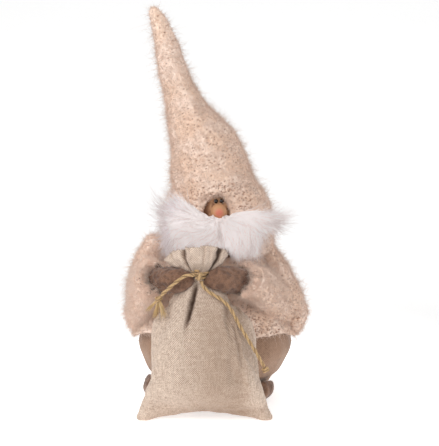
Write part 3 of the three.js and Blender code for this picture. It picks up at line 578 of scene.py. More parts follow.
class Finish:
    """A material with its shader, in the finish of one of the record's slots."""

    def __init__(self, name, slot, roughness, **shader):
        self.material = bpy.data.materials.new(name)
        self.material.use_nodes = True
        self.slot = slot
        self.tree = self.material.node_tree
        self.surface = self.tree.nodes["Principled BSDF"]
        self.surface.inputs["Roughness"].default_value = roughness
        for socket, value in shader.items():
            self.surface.inputs[socket.replace("_", " ").title()].default_value = value
        self.place = self.node("ShaderNodeTexCoord", output="Object")

    def node(self, kind, settings=None, sockets=None, output=0):
        """Adds a node with its settings, then the values or wires of its sockets, and gives an output."""
        made = self.tree.nodes.new(kind)
        settle(made, **(settings or {}))
        for key, value in (sockets or {}).items():
            self.feed(made.inputs[key], value)
        return Wire(self, made.outputs[output])

    def feed(self, socket, value):
        """Links a wire to a socket, or sets the socket to a number or colour."""
        if isinstance(value, Wire):
            self.tree.links.new(value.socket, socket)
        else:
            socket.default_value = value

    def attribute(self, name):
        """A number that the piece keeps for each of its points."""
        return self.node("ShaderNodeAttribute", {"attribute_name": name}, output="Fac")

    def noise(self, size, detail=2.0, rough=0.5, place=None):
        """Soft random patches of about this size in millimetres."""
        sockets = {"Vector": place or self.place, "Scale": 1 / (size * mm)}
        return self.node("ShaderNodeTexNoise", None, {**sockets, "Detail": detail, "Roughness": rough})

    def grains(self, size):
        """Rounded cells of this size in millimetres, zero at their middles."""
        return self.node("ShaderNodeTexVoronoi", None, {"Vector": self.place, "Scale": 1 / (size * mm)})

    def away_from(self, spot):
        """How far each place is from a spot, in metres."""
        sockets = {0: self.place, 1: spot}
        return self.node("ShaderNodeVectorMath", {"operation": "DISTANCE"}, sockets, "Value")

    def squeezed(self, *scale):
        """The place on the piece, with each direction made shorter or longer."""
        return self.node("ShaderNodeVectorMath", {"operation": "MULTIPLY"}, {0: self.place, 1: scale})

    def parts(self):
        """The three coordinates, each as a number."""
        split = self.tree.nodes.new("ShaderNodeSeparateXYZ")
        self.feed(split.inputs[0], self.place)
        return [Wire(self, socket) for socket in split.outputs]

    def mix(self, first, second, share):
        """A colour between two colours, each a wire, four numbers or a web code."""
        first, second = (colour(shade) if isinstance(shade, str) else shade for shade in (first, second))
        return self.node("ShaderNodeMix", {"data_type": "RGBA"}, {0: share, 6: first, 7: second}, 2)

    def layers(self, tint, *coats):
        """A colour with others mixed over it in turn, each by its own share."""
        for code, share in coats:
            tint = self.mix(tint, code, share)
        return tint

    def finish(self, tint, height=None, depth=0.4, strength=1.0, rough=None):
        """Sets the colour, and the bump from a height with this depth in millimetres."""
        self.feed(self.surface.inputs["Base Color"], tint)
        if rough is not None:
            self.feed(self.surface.inputs["Roughness"], rough)
        if height is not None:
            sockets = {"Height": height, "Distance": depth * mm, "Strength": strength}
            self.feed(self.surface.inputs["Normal"], self.node("ShaderNodeBump", None, sockets))
        return self

    def lets_light_through(self, tint, share):
        """Mixes in some light that comes through from behind, as thin hair does."""
        through = self.node("ShaderNodeBsdfTranslucent", None, {"Color": colour(tint)})
        surface = Wire(self, self.surface.outputs[0])
        both = self.node("ShaderNodeMixShader", None, {0: share, 1: surface, 2: through})
        self.feed(self.tree.nodes["Material Output"].inputs["Surface"], both)
        return self


def colour(code):
    """A colour from its web code, as the shader takes it."""
    parts = [int(code[start:start + 2], 16) / 255 for start in (0, 2, 4)]
    return tuple(((part + 0.055) / 1.055) ** 2.4 if part > 0.04 else part / 12.92 for part in parts) + (1,)


def woven(finish, across, along, pitch):
    """The height of a plain weave with this thread pitch in millimetres."""
    turn = math.pi / (pitch * mm)
    slack = finish.noise(14, 1) * 0.9 * mm
    first = ((across + slack) * turn).sine()
    second = ((along + slack) * turn).sine()
    return first * second * 0.5 + 0.5


# Finishes
def knit_finish():
    # The knit glows faintly in its own colour: painted light, not a lamp.
    knit = Finish("brushed_knit", "knit", 0.95, sheen_weight=0.3, sheen_roughness=0.6,
                  emission_color=colour("f4dccb"), emission_strength=0.05)
    curl, nub = knit.noise(2.4, 3, 0.6), knit.attribute("nub")
    tint = knit.layers(
        "f6e1d2",
        ("f2d6c0", knit.noise(22, 2).clear_of(0.38, 0.62)),
        ("fceee2", curl.clear_of(0.5, 0.75) * 0.5),
        # Painted shade: darker between the curls where the knit is open.
        ("cda588", (1 - nub) * knit.attribute("open") * 0.6),
        # Painted shade: brown on the brim's inner side round the face opening, kept as 'rim'.
        ("9a7354", knit.attribute("rim") * 0.85),
        # Painted shade: the holes between the stitches are painted dark brown.
        ("84481c", knit.attribute("pit")),
    )
    return knit.finish(tint, curl + nub * 0.6, 0.35, 0.25)


def cuff_finish():
    cuff = Finish("grey_cuff", "knit", 0.95, sheen_weight=0.2)
    curl = cuff.noise(3, 3, 0.6)
    tint = cuff.layers(
        "f8e2d2",
        # Painted shade: dark grey inside the cuff, near the mitten.
        ("5f514b", cuff.attribute("inner_shade")),
        ("b39d8e", curl.clear_of(0.5, 0.7) * 0.3),
        # Painted shade: the holes between the stitches are painted dark brown.
        ("6b3818", cuff.attribute("pit") * 0.9),
    )
    return cuff.finish(tint, curl, 0.6, 0.7)


def fuzz_finish(name, slot, light, dark, through, root=None, glow=0.0):
    # The hairs glow by the given strength: painted light.
    fuzz = Finish(name, slot, 0.8, sheen_weight=0.15, emission_color=colour(light), emission_strength=glow)
    patch = fuzz.noise(16, 2).clear_of(0.4, 0.66) * 0.3
    tint = fuzz.mix(light, dark, fuzz.attribute("tone") * 0.85 + patch * 0.5)
    # Painted shade: hairs darker towards their roots, deep in the pile.
    if root:
        tint = fuzz.mix(root, tint, fuzz.attribute("along").clear_of(-0.4, 0.6))
    return fuzz.finish(tint).lets_light_through(light, through)


def fur_finish():
    # The white hair glows faintly: painted light.
    fur = Finish("white_fur", "fur", 0.5, emission_color=colour("fff9f7"), emission_strength=0.262)
    # Painted shade: a faint lavender tint on the hair's left side.
    lavender_shade = (fur.parts()[0] / mm).clear_of(-24.0, -62.0) * fur.noise(16, 1).clear_of(0.35, 0.6)
    # Darker by tone: locks differ at random, and the parting and the bare core get their tone as painted
    # shade.
    tint = fur.layers("ffffff", ("f1ebf2", lavender_shade), ("aa9a94", fur.attribute("tone").clear_of(0.35, 1.15)))
    # Painted shade: hair darker near its roots.
    tint = fur.mix("ded2cd", tint, fur.attribute("along").clear_of(-0.4, 0.3))
    return fur.finish(tint).lets_light_through("fffafa", 0.42)


def linen_finish():
    linen = Finish("body_linen", "linen", 0.9, sheen_weight=0.2)
    weave = woven(linen, linen.attribute("around"), linen.attribute("along"), 1.1)
    slub = linen.noise(2.6, 3, 0.7)
    tint = linen.layers(
        "634834",
        ("ae8c74", (weave * 0.45 + slub * 0.65).clear_of(0.1, 0.9)),
        ("ab8870", linen.noise(40, 1).clear_of(0.4, 0.7) * 0.3),
    )
    return linen.finish(tint, weave + slub * 0.5, 0.3, 0.8)


def sack_finish():
    """Coarse linen: its weave shows where it faces the front; shade is painted darker along its lower edge,
    across its middle and in its creases, with a little painted light at its top.
    """
    sack = Finish("sack_linen", "sack_linen", 0.92, sheen_weight=0.15)
    across, deep, high = sack.parts()
    place, level = across / mm, high / mm
    slack = sack.noise(9, 1) * 1.2 * mm
    facing = place.clear_of(-58, -34) * (1 - place.clear_of(14, 36))
    facing = facing * (1 - level.clear_of(96, 122) * (1 - level.clear_of(150, 156)) * 0.6)
    weave = (woven(sack, across + slack, high * 0.96 - deep * 0.28 + slack, 0.98) - 0.5) * facing
    warp = sack.noise(1.5, 2, 0.6, sack.squeezed(1, 0.7, 0.16))
    weft = sack.noise(1.5, 2, 0.6, sack.squeezed(0.2, 0.3, 1))
    fleck = sack.noise(1.1, 1, 0.5)
    cloth = (weave * 0.5 + warp * 0.35 + weft * 0.25 + fleck * 0.45).clear_of(0.22, 0.82)
    # Painted shade: a darker band across the middle, below the neck.
    middle = place.clear_of(-46, 2) * (1 - place.clear_of(24, 46)) * (1 - level.clear_of(118, 146))
    # Painted shade: darker along the lower edge, where the bag rounds under.
    low = (1 - level.clear_of(6, 26)) * place.clear_of(-78, -44) * (1 - place.clear_of(40, 70))
    tint = sack.layers(
        "7f6353",
        ("e8d5c3", cloth * 0.85 + 0.1),
        ("86684f", middle * (0.7 + sack.noise(60, 1) * 0.6) * 0.42),
        ("7a5c45", low * 0.3),
        # Painted light: a little lighter at the top, on the gathered mouth.
        ("f0dccb", level.clear_of(150, 162) * 0.08),
        # Painted shade in the creases and folds.
        ("4e3524", sack.attribute("crease_shade") * 0.9),
    )
    return sack.finish(tint, cloth, 0.3, 0.7)


def felt_finish(name, slot, dark, middle, light):
    felt = Finish(name, slot, 0.9, sheen_weight=0.35)
    mottle, nap = felt.noise(7, 3, 0.6), felt.noise(0.9, 2, 0.7)
    tint = felt.layers(
        dark,
        (middle, mottle.clear_of(0.35, 0.6)),
        (light, nap.clear_of(0.5, 0.8) * 0.6),
        # Darker where 'shade' is high: painted shade on the head, random darker patches on the mittens and
        # feet.
        (dark, felt.attribute("shade")),
    )
    return felt.finish(tint, nap + mottle * 0.8, 0.5, 0.8)


def nose_finish():
    """Painted wood with a soft pink spot in front."""
    ball = Finish("painted_nose", "nose_ball", 0.5)
    away = ball.away_from(tuple((nose_centre + (0.6, -8, 0.6)) * mm))
    blush = 1 - (away / mm).clear_of(1.5, 7.0)
    patch = ball.noise(3, 2).clear_of(0.5, 0.75)
    tint = ball.layers("bb8a63", ("c66a58", blush * 0.85), ("9c6a44", patch * 0.3))
    return ball.finish(tint, ball.noise(0.8, 2), 0.05, 0.4, 0.45 + ball.noise(2, 1) * 0.14)


def bead_finish():
    bead = Finish("gloss_bead", "eye_bead", 0.2, coat_weight=0.4, coat_roughness=0.15)
    tint = bead.mix("120a07", "241610", bead.noise(1.5, 1))
    return bead.finish(tint, rough=0.18 + bead.noise(1, 1) * 0.08)


def jute_finish():
    jute = Finish("jute_twine", "jute", 0.85, sheen_weight=0.2)
    groove, fibre = jute.attribute("groove"), jute.noise(0.8, 3, 0.7)
    tint = jute.layers(
        "a28157",
        ("d3b283", fibre.clear_of(0.35, 0.7)),
        # Painted light: the frayed tails are lighter past their roots.
        ("eccb92", jute.attribute("along").clear_of(0.05, 0.4) * 0.55),
        # Painted shade in the grooves between the two plies.
        ("573d27", groove.clear_of(0.4, 1.0) * 0.9),
    )
    return jute.finish(tint, fibre - groove, 0.35, 0.8)


def fibre_finish():
    fibre = Finish("stuffing_fibre", "filling", 0.95, sheen_weight=0.3)
    wisp = fibre.noise(1.6, 4, 0.7)
    tint = fibre.mix("e6e3dc", "fbfaf7", wisp.clear_of(0.3, 0.7))
    return fibre.finish(tint, wisp + fibre.noise(8, 2), 1.2, 0.9)


def board_finish():
    board = Finish("pressed_board", "board", 0.85)
    chip = board.grains(1.4)
    tint = board.mix("96795a", "c3a884", chip.clear_of(0.1, 0.6))
    return board.finish(tint, chip + board.noise(0.6, 2), 0.15, 0.6)


def steel_finish():
    steel = Finish("steel_wire", "wire", 0.35, metallic=1.0)
    scratch = steel.noise(0.5, 3, 0.7)
    tint = steel.mix("a9a9ab", "c9c9cb", scratch)
    return steel.finish(tint, scratch, 0.03, 0.5, 0.28 + scratch * 0.2)


def floor_finish():
    """White, with a glow that clears the figure's shadow around its foot."""
    floor = Finish("pale_floor", "floor", 0.9, emission_strength=1.0)
    tint = floor.mix("fbfbfb", "fefefe", floor.noise(300, 2))
    away = floor.away_from((0.02, 0.02, 0))
    glow = floor.mix((0.52, 0.52, 0.52, 1), (0.04, 0.04, 0.04, 1), away.clear_of(0.15, 0.36))
    floor.feed(floor.surface.inputs["Emission Color"], glow)
    return floor.finish(tint)


# Camera, floor and lamps
def make_camera():
    lens = bpy.data.cameras.new("camera")
    lens.sensor_width = 36
    lens.lens = 36 * camera_distance / (frame_height_px * pixel_size)
    lens.clip_end = 50
    camera = shown("camera", lens)
    rise = math.radians(camera_elevation)
    camera.location = camera_target + camera_distance * Vector((0, -math.cos(rise), math.sin(rise)))
    camera.rotation_euler = (math.pi / 2 - rise, 0, 0)
    bpy.context.scene.camera = camera


def make_floor():
    bpy.ops.mesh.primitive_plane_add(size=16)
    floor = bpy.context.active_object
    floor.name = "floor"
    bpy.ops.object.mode_set(mode="EDIT")
    bpy.ops.mesh.subdivide(number_cuts=3)
    bpy.ops.object.mode_set(mode="OBJECT")
    floor.data.materials.append(floor_finish().material)
    floor.select_set(False)


def make_lamp(name, place, size, watts, tint):
    light = bpy.data.lights.new(name, "AREA")
    settle(light, shape="DISK", size=size, energy=watts, color=tint)
    lamp = shown(name, light)
    lamp.location = place
    lamp.rotation_euler = (camera_target - Vector(place)).to_track_quat("-Z", "Y").to_euler()


def make_lighting():
    world = bpy.data.worlds.new("studio")
    world.use_nodes = True
    sky = world.node_tree.nodes["Background"].inputs
    sky["Color"].default_value = (1, 1, 1, 1)
    sky["Strength"].default_value = 0.72
    bpy.context.scene.world = world
    bpy.context.scene.view_settings.view_transform = "Standard"
    make_lamp("key_lamp", (-2.1, -1.9, 2.1), 2.0, 50, (1, 0.99, 0.98))
    make_lamp("fill_lamp", (1.9, -2.0, 1.2), 2.2, 10, (1, 0.98, 0.97))
    make_lamp("back_lamp", (0.3, 2.2, 2.4), 2.0, 14, (1, 1, 1))


# Cords
def knot_line(centre, radius, turns, drift, tilt):
    """A short coil of cord around its own middle, tilted about the y axis, in millimetres."""
    angle = np.linspace(0, turns * 2 * math.pi, 20)
    along = np.linspace(-drift, drift, 20)
    x = radius * np.cos(angle)
    y = radius * np.sin(angle)
    lean = math.radians(tilt)
    across = x * math.cos(lean) - along * math.sin(lean)
    high = x * math.sin(lean) + along * math.cos(lean)
    return np.column_stack([across, y, high]) + np.array(centre)


def make_cords(jute):
    """The two free ends first, then the winding, the knots and the frayed tails."""
    draw = np.random.default_rng(11)
    knots = {}
    for side in ("left", "right"):
        line = smooth_line(knot_line(end_knots[side], 2.2, 1.6, 1.5, 35), 0.5)
        knots[side] = twine(f"end_knot_{side}", line, twine_radius * mm)
        if side == "left":
            tails = []
            for end in tail_ends:
                root = np.array(end_knots["left"]) * mm
                spread = draw.normal(size=(30, 3)) * (0.6, 0.4, 0.6) * mm
                ways = np.array(end) * mm - root + spread * 0.9
                lengths = np.linalg.norm(ways, axis=1) * draw.uniform(0.8, 1.0, 30)
                bend = np.array((0, 0, -0.05))
                spines = spines_for(root + spread * 0.7, ways, lengths, bend, 0.07, 4, draw)
                tails.append(strands("tail", spines, "tail"))
            knots[side] = joined("end_knot_left", [knots[side]] + tails)
        place_on(knots[side], jute, f"cord_{side}_knot")
    for side, route in (("left", cord_left_route), ("right", cord_right_route)):
        line = smooth_line(route, 0.6)
        cord = twine(f"twine_{side}", line, twine_radius * mm)
        place_on(cord, jute, f"cord_{side}")
    angle = np.linspace(0, 4 * math.pi, 80)
    turns = np.column_stack([9.7 * np.sin(angle), -9.7 * np.cos(angle), np.linspace(-4.1, 4.1, 80)])
    winding = twine("neck_winding", smooth_line(turns + neck_centre, 0.6), twine_radius * mm)
    place_on(winding, jute, "cord_winding")
    line = smooth_line(knot_line(knot_centre, 2.9, 1.7, 2.2, 80), 0.5)
    middle = twine("neck_knot", line, twine_radius * mm)
    place_on(middle, jute, "cord_knot")


# Knitted pieces
def knit(piece, open_share, seed, nub_size=3.0, nub_height=0.5):
    """Raises the curls of the yarn, sinks the holes between them, keeps both for the finish."""
    points, normals = points_of(piece), normals_of(piece)
    draw = np.random.default_rng(seed)
    curls = scattered(points, nub_size * mm, seed)
    nub = np.clip(1 - (nearest(points, points[curls])[0] / (0.62 * nub_size * mm)) ** 2, 0, 1)
    row = points[:, 2] / (6.2 * mm) + 0.25 * waves(points, 45 * mm, seed + 5)
    in_row = np.flatnonzero(np.abs(row - np.round(row)) < 0.2)
    holes = in_row[scattered(points[in_row], 4.8 * mm, seed + 1)]
    holes = holes[draw.random(len(holes)) < open_share[holes]]
    loose = scattered(points, 2.7 * mm, seed + 2)
    loose = loose[draw.random(len(loose)) < open_share[loose] ** 3 * 0.55]
    holes = np.concatenate([holes, loose])
    stretch = np.array((1, 1, 1.6))
    gap, hole = nearest(points * stretch, points[holes] * stretch)
    pit = np.exp(-((gap / mm / draw.uniform(0.65, 1.25, len(holes))[hole]) ** 2))
    height = 0.3 * waves(points, 22 * mm, seed + 3) + 0.1 * waves(points, 8 * mm, seed + 4)
    height += nub * nub_height * (0.2 + 0.9 * open_share) - pit * 1.5
    holes_at = points[holes]
    move_to(piece, points + normals * height[:, None] * mm)
    paint(piece, "pit", pit)
    paint(piece, "nub", nub)
    paint(piece, "open", open_share)
    return holes_at


def pile_spines(roots, normals, length, seed, wild=0.75, fall=0.15):
    """Short straight hairs that stand off a knitted surface, brushed a little downwards."""
    draw = np.random.default_rng(seed)
    ways = normals * 0.75 + draw.normal(size=roots.shape) * wild * 0.7 + (0, 0, -fall)
    lengths = length * draw.uniform(0.45, 1.15, len(roots)) * mm
    return spines_for(roots, ways, lengths, np.zeros(3), 0.0, 1, draw)


def wisp_spines(roots, normals, shortest, longest, seed, steps=3):
    """Longer hairs that reach out of the pile and bend, most of them near the shortest."""
    draw = np.random.default_rng(seed)
    ways = normals + draw.normal(size=roots.shape) * 0.5 + (0, 0, 0.05)
    lengths = np.minimum(shortest + draw.exponential((longest - shortest) / 3, len(roots)), longest) * mm
    return spines_for(roots, ways, lengths, np.array((0, 0, -0.2)), 0.45 if steps > 1 else 0, steps, draw)


def outer_roots(piece, per_square_mm, seed, line):
    """Random places on the side of a piece that looks away from a line inside it."""
    roots, normals = roots_on(piece, per_square_mm, seed)
    keep = faces_away(roots, normals, line)
    return roots[keep], normals[keep]


def clear_of_holes(roots, normals, holes, gap):
    """The roots that lie more than a gap in millimetres from every hole, with their directions."""
    clear = nearest(roots, holes)[0] > gap * mm
    return roots[clear], normals[clear]


def cover_with_pile(piece, line, per_square_mm, length, seed, holes, long_share=1.0):
    """Middle lines of the dense pile, which leaves the holes free, and of its longer hairs."""
    roots, normals = clear_of_holes(*outer_roots(piece, per_square_mm, seed, line), holes, 1.25)
    short = pile_spines(roots, normals, length if np.isscalar(length) else length(roots), seed + 2)
    roots, normals = clear_of_holes(*outer_roots(piece, 0.26 * long_share, seed + 3, line), holes, 1.6)
    middle = wisp_spines(roots, normals, 5.0, 14, seed + 4, 1)
    roots, normals = outer_roots(piece, 0.03 * long_share, seed + 5, line)
    return short, middle, wisp_spines(roots, normals, 9, 21, seed + 6)


def pile_piece(name, short, middle, long, finishes, body="figure"):
    """The pile of one piece as its own mesh, and its longer hairs as another."""
    place_on(strands(name, short, "pile"), finishes[0], body=body)
    halo = [strands(name + "_halo", middle, "halo"), strands("long", long, "wisp")]
    return place_on(joined(name + "_halo", halo), finishes[1], body=body)


def slimmed(points):
    """The hat's points drawn in to the photograph's outline, most on the right above the middle."""
    across, _, high = (points / mm).T
    stops = [place[2] for place in hat_axis]
    middle = np.interp(high, stops, [place[0] for place in hat_axis])
    radius = np.interp(high, stops, hat_radii)
    right = np.interp(high, *hat_slim_right)
    left = np.interp(high, *hat_slim_left)
    share = (across - middle) / radius
    share = np.sign(share) * ramp(np.abs(share), 0, 1.06)
    moved = points.copy()
    moved[:, 0] -= np.where(share > 0, right * share, left * share) * mm
    return moved


def face_ring(across, down):
    """One on the edge of the face opening in the photograph, less inside it and more outside."""
    sideways, downwards = across - face_px[0], down - face_px[1]
    return (sideways / face_reach_px[0]) ** 2 + (downwards / face_reach_px[1]) ** 2


def face_fringe(piece, seed):
    """Short hairs of the brim that hang over the edge of the face opening."""
    roots, normals = roots_on(piece, 1.7, seed)
    across, down = seen_at(roots)
    keep = (face_ring(across, down) < 1.3) & (down < face_px[1])
    keep &= (normals[:, 1] < 0.1) & (roots[:, 1] < -36 * mm)
    keep &= (across > fringe_gap_px[0]) | (down < fringe_gap_px[1])
    draw = np.random.default_rng(seed + 1)
    ways = unit(np.array((3, -60, 212)) * mm - roots[keep]) * 0.35 + (0, -0.9, -0.3)
    ways += draw.normal(size=ways.shape) * 0.4
    return spines_for(roots[keep], ways, draw.uniform(1.6, 4.6, len(ways)) * mm, np.zeros(3), 0, 1, draw)


def hat_openness(points):
    """How much the knit shows its holes: little near the tip, most in the brim."""
    across, down = seen_at(points)
    share = np.interp(down, *hat_open_line)
    patches = np.clip(0.8 + 0.45 * waves(points, 30 * mm, 5), 0.25, 1)
    left_side = 1 - 0.85 * ramp(across, *hat_left_px) * ramp(down, *hat_left_down_px)
    back = 1 - 0.5 * ramp(points[:, 1] / mm, 0, 20)
    return np.clip(share * patches * left_side * back, 0, 1)


def hat_pile_length(roots):
    """Shorter pile round the face and near the tip."""
    gap = np.linalg.norm(roots / mm - brow_centre, axis=1)
    return 4.2 * (0.45 + 0.55 * ramp(gap, 16, 38)) * np.interp(roots[:, 2] / mm, [330, 420], [1, 0.7])


def make_hat(finish, fuzz):
    """The whole hat in one skin, then parted where its middle stretch is stiff."""
    nodes = ["hat_lower", "hat_fold_lower", "hat_middle", "hat_fold_upper", "hat_tip",
             "hat_filling_lower", "hat_filling_middle"]
    lower = copy_of("hat_knit_lower", nodes, 1.1, 6)
    points = slimmed(points_of(lower))
    across, down = seen_at(points)
    front = ramp(-points[:, 1] / mm, 28, 36)
    close = ramp(across, *brim_near_px) * (1 - ramp(across, *brim_far_px))
    close = close * (1 - ramp(np.abs(down - brim_level_px), 12, 24))
    points[:, 0] -= 6.5 * mm * close * front
    drop = np.interp(across, *brim_drop_line)
    points[:, 2] -= drop * mm * front * ramp(down, *brim_above_px) * (1 - ramp(down, *brim_below_px))
    move_to(lower, points)
    holes = knit(lower, hat_openness(points_of(lower)), 21)
    points, normals = points_of(lower), normals_of(lower)
    across, down = seen_at(points)
    # Painted shade: the brim's inner side round the face opening, kept as 'rim' and painted brown in the
    # finish.
    near = ramp(-face_ring(across, down), -1.5, -1.0)
    inward = (unit(face_centre * mm - points) * normals).sum(axis=1)
    paint(lower, "rim", near * ramp(inward, -0.1, 0.5) * (points[:, 1] < -30 * mm))
    short, middle, long = cover_with_pile(lower, hat_axis, 1.08, hat_pile_length, 22, holes)
    short = np.concatenate([short, face_fringe(lower, 28)])
    upper = shown("hat_knit_upper", lower.data.copy())
    cut(lower, (0, 0, hat_seam_height), (0, 0, 1))
    cut(upper, (0, 0, hat_seam_height), (0, 0, -1))
    low_bend = ("figure", "hat_middle", (-0.020, 0, 0.293), (-0.031, 0, 0.320))
    high_bend = ("hat_middle", "hat_tip", (-0.043, 0, 0.350), (-0.049, 0, 0.368))
    place_on(lower, finish, "hat_lower", "hat_fold_lower", "hat_middle", body=low_bend)
    place_on(upper, finish, "hat_fold_upper", "hat_tip", body=high_bend)
    seam = hat_seam_height * mm
    for name, over, bend in (("lower", False, low_bend), ("upper", True, high_bend)):
        chosen = [spines[(spines[:, 0, 2] > seam) == over] for spines in (short, middle, long)]
        pile_piece(f"hat_pile_{name}", *chosen, fuzz, bend)


def coat_openness(points):
    """How much the coat shows its holes: most at the front on the right."""
    share = 0.45 + 0.35 * waves(points, 40 * mm, 31)
    return np.clip(share + 0.6 * ramp(points[:, 0] / mm, 15, 40) * ramp(-points[:, 1] / mm, 10, 40), 0.1, 1)


def make_coat(finish, fuzz):
    """The coat's body, its hem raised in front and its shoulders lifted."""
    coat = copy_of("coat_knit", ["coat_body"], 1.6, 3)
    points = points_of(coat)
    lift = 16 * ramp(-points[:, 1] / mm, 5, 62) * (1 - ramp(points[:, 2] / mm, 66, 125))
    lift += 14 * ramp(points[:, 2] / mm, 132, 150) * ramp(np.abs(points[:, 0]) / mm, 30, 50)
    move_to(coat, points + np.outer(lift, (0, 0, mm)))
    holes = knit(coat, coat_openness(points), 32)
    line = [(0, 0, 60), (0, 0, 160)]
    pile = cover_with_pile(coat, line, 0.55, 4.5, 33, holes)
    place_on(coat, finish, "coat_body")
    halo = pile_piece("coat_pile", *pile, fuzz)


def topped(points, stops, heights, base):
    """Stretches what lies above a base height so that its top follows a line of heights."""
    across, deep, high = (points / mm).T
    marks = np.arange(-104, 105, 3)
    tops = np.array([np.max(high[np.abs(across - mark) < 3], initial=base + 8) for mark in marks])
    now = np.interp(across, marks, tops)
    share = np.clip((np.interp(across, stops, heights) - base) / (now - base), 0.65, 5)
    share = 1 + (share - 1) * ramp(deep, -70, -48)
    moved = points.copy()
    moved[:, 2] = np.where(high > base, base + (high - base) * share, high) * mm
    return moved


def make_sleeve(side, finish, fuzz):
    """A sleeve with its shoulder raised to the photograph's outline."""
    seed = 40 + 10 * (side == "right")

    def openness(points):
        low_front = ramp(-points[:, 2] / mm, -140, -110)
        share = 0.4 + 0.7 * low_front if side == "right" else 0.12 + 0.3 * low_front
        return np.clip(share * (0.85 + 0.3 * waves(points, 24 * mm, seed)), 0, 1)

    sleeve = copy_of(f"sleeve_knit_{side}", [f"sleeve_{side}"], 1.1, 6)
    points = points_of(sleeve)
    if side == "left":
        nearer = (points[:, 0] + 70 * mm) * 0.86 - 70 * mm
        points[:, 0] = np.where(points[:, 0] < -70 * mm, nearer, points[:, 0])
    move_to(sleeve, topped(points, *sleeve_lines[side], sleeve_base))
    holes = knit(sleeve, openness(points), seed + 1, nub_height=0.25 if side == "left" else 0.5)
    line = [shoulders[side], elbows[side], wrists[side]]
    length = 5.5 if side == "left" else 4.2
    pile = cover_with_pile(sleeve, line, 1.15, length, seed + 2, holes, long_share=1.2)
    place_on(sleeve, finish, f"sleeve_{side}")
    pile_piece(f"sleeve_pile_{side}", *pile, fuzz)


def make_cuff(side, finish, fuzz):
    """The sleeve's rolled end: fuzzy, pale outside and painted dark grey inside as shade, closing over the
    mitten.
    """
    seed = 60 + 10 * (side == "right")
    cuff = copy_of(f"cuff_knit_{side}", [f"cuff_{side}"], 0.9, 6)
    points, normals = points_of(cuff), normals_of(cuff)
    centre = points.mean(axis=0)
    outward = (points[:, 0] - centre[0]) * signs[side] / mm
    points += (centre - points) * (ramp(outward, -4, 12) * 0.34)[:, None]
    points[:, 1] -= 8 * ramp(outward, -2, 12) * mm
    uneven = 1.2 * waves(points, 16 * mm, seed + 7) + 0.7 * waves(points, 6 * mm, seed + 8)
    points += normals * (uneven + 0.6)[:, None] * mm
    move_to(cuff, points)
    holes = knit(cuff, np.full(len(points), 0.8), seed, 2.6, 0.8)

    hand = points_of(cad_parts[f"mitten_{side}"])

    # How near each place lies to the mitten inside the cuff's opening, where shade is painted dark grey.
    def inside(places):
        patches = 1.6 * waves(places, 9 * mm, seed + 9)
        past = ramp((places[:, 0] - hand[:, 0].mean()) * signs[side] / mm, 9, 17)
        return (1 - ramp(nearest(places, hand)[0] / mm + patches, 3.0, 7.0)) * past

    paint(cuff, "inner_shade", inside(points))
    roots, normals = clear_of_holes(*roots_on(cuff, 2.4, seed + 1), holes, 1.15)
    inner_shade = inside(roots)
    short = pile_spines(roots, normals, 4.6 - 1.0 * inner_shade, seed + 2, 0.9, 0.1)
    draw = np.random.default_rng(seed + 5)
    # The pile's hairs near the mitten get a dark tone as painted shade.
    tones = np.clip(inner_shade * 0.9 + draw.normal(size=len(inner_shade)) * 0.15, 0, 1)
    place_on(cuff, finish, f"cuff_{side}")
    outer = ((roots[:, 0] - centre[0]) * signs[side] > -3 * mm) & (normals[:, 1] < 0.3)
    folded = np.flatnonzero(outer & (draw.random(len(roots)) < 0.2))
    ways = np.array((-0.9 * signs[side], -0.5, 0)) + draw.normal(size=(len(folded), 3)) * 0.4
    lengths = draw.uniform(5, 12, len(folded)) * mm
    over = spines_for(roots[folded], ways, lengths, np.zeros(3), 0, 1, draw)
    spines = np.concatenate([short, over])
    # The folded hairs near the mitten are painted dark as shade too.
    dark = inner_shade[folded] * 0.8 + draw.normal(size=len(folded)) * 0.15
    tones = np.concatenate([tones, np.clip(dark, 0, 1)])
    place_on(strands(f"cuff_pile_{side}", spines, "wisp", tones), fuzz)
    roots, normals = roots_on(cuff, 0.3, seed + 3)
    long = wisp_spines(roots, normals, 5, 13, seed + 4)
    # The longer hairs near the mitten are painted darker as shade.
    place_on(strands(f"cuff_halo_{side}", long, "wisp", inside(roots) * 0.6), fuzz)


# Fur
def lock_of(spines, every):
    """Which lock each hair belongs to: the one whose leading hair has the nearest root."""
    leads = np.arange(0, len(spines), every)
    return leads[nearest(spines[:, 0], spines[leads, 0])[1]]


def fur_angle(points):
    """How far below level the white hair is combed, in degrees, by its place in the photograph."""
    across, down = seen_at(points)
    out = np.abs(across - parting_px)
    falling = np.interp(down - moustache_top_px, [0, 5, 14, 26], [-2, 8, 60, 86])
    horn = np.interp(down - moustache_top_px, [0, 10, 20, 26], [-3, 4, 16, 75])
    right = falling + (horn - falling) * ramp(out, 30, 44)
    depth = down - np.maximum(comb_level_px - 0.42 * out, comb_top_px)
    left = np.interp(depth, [0, 6, 12, 24, 38, 52], [-42, -36, -24, 15, 55, 74])
    combed = np.where(across > parting_px, right, left)
    fan = np.degrees(np.arctan2(down - nose_low_px, np.maximum(out, 0.5)))
    near = 1 - ramp(np.hypot(out, down - nose_low_px), 9, 24)
    return combed + (np.clip(fan, -40, 88) - combed) * near


def in_fur(points):
    """Whether the photograph shows white hair at these places."""
    across, down = seen_at(points)
    right = np.interp(down, *fur_right_line)
    top = np.interp(across, *fur_top_line)
    low = np.interp(across, *fur_low_line)
    return (across > fur_left_px) & (across < right) & (down > top) & (down < low)


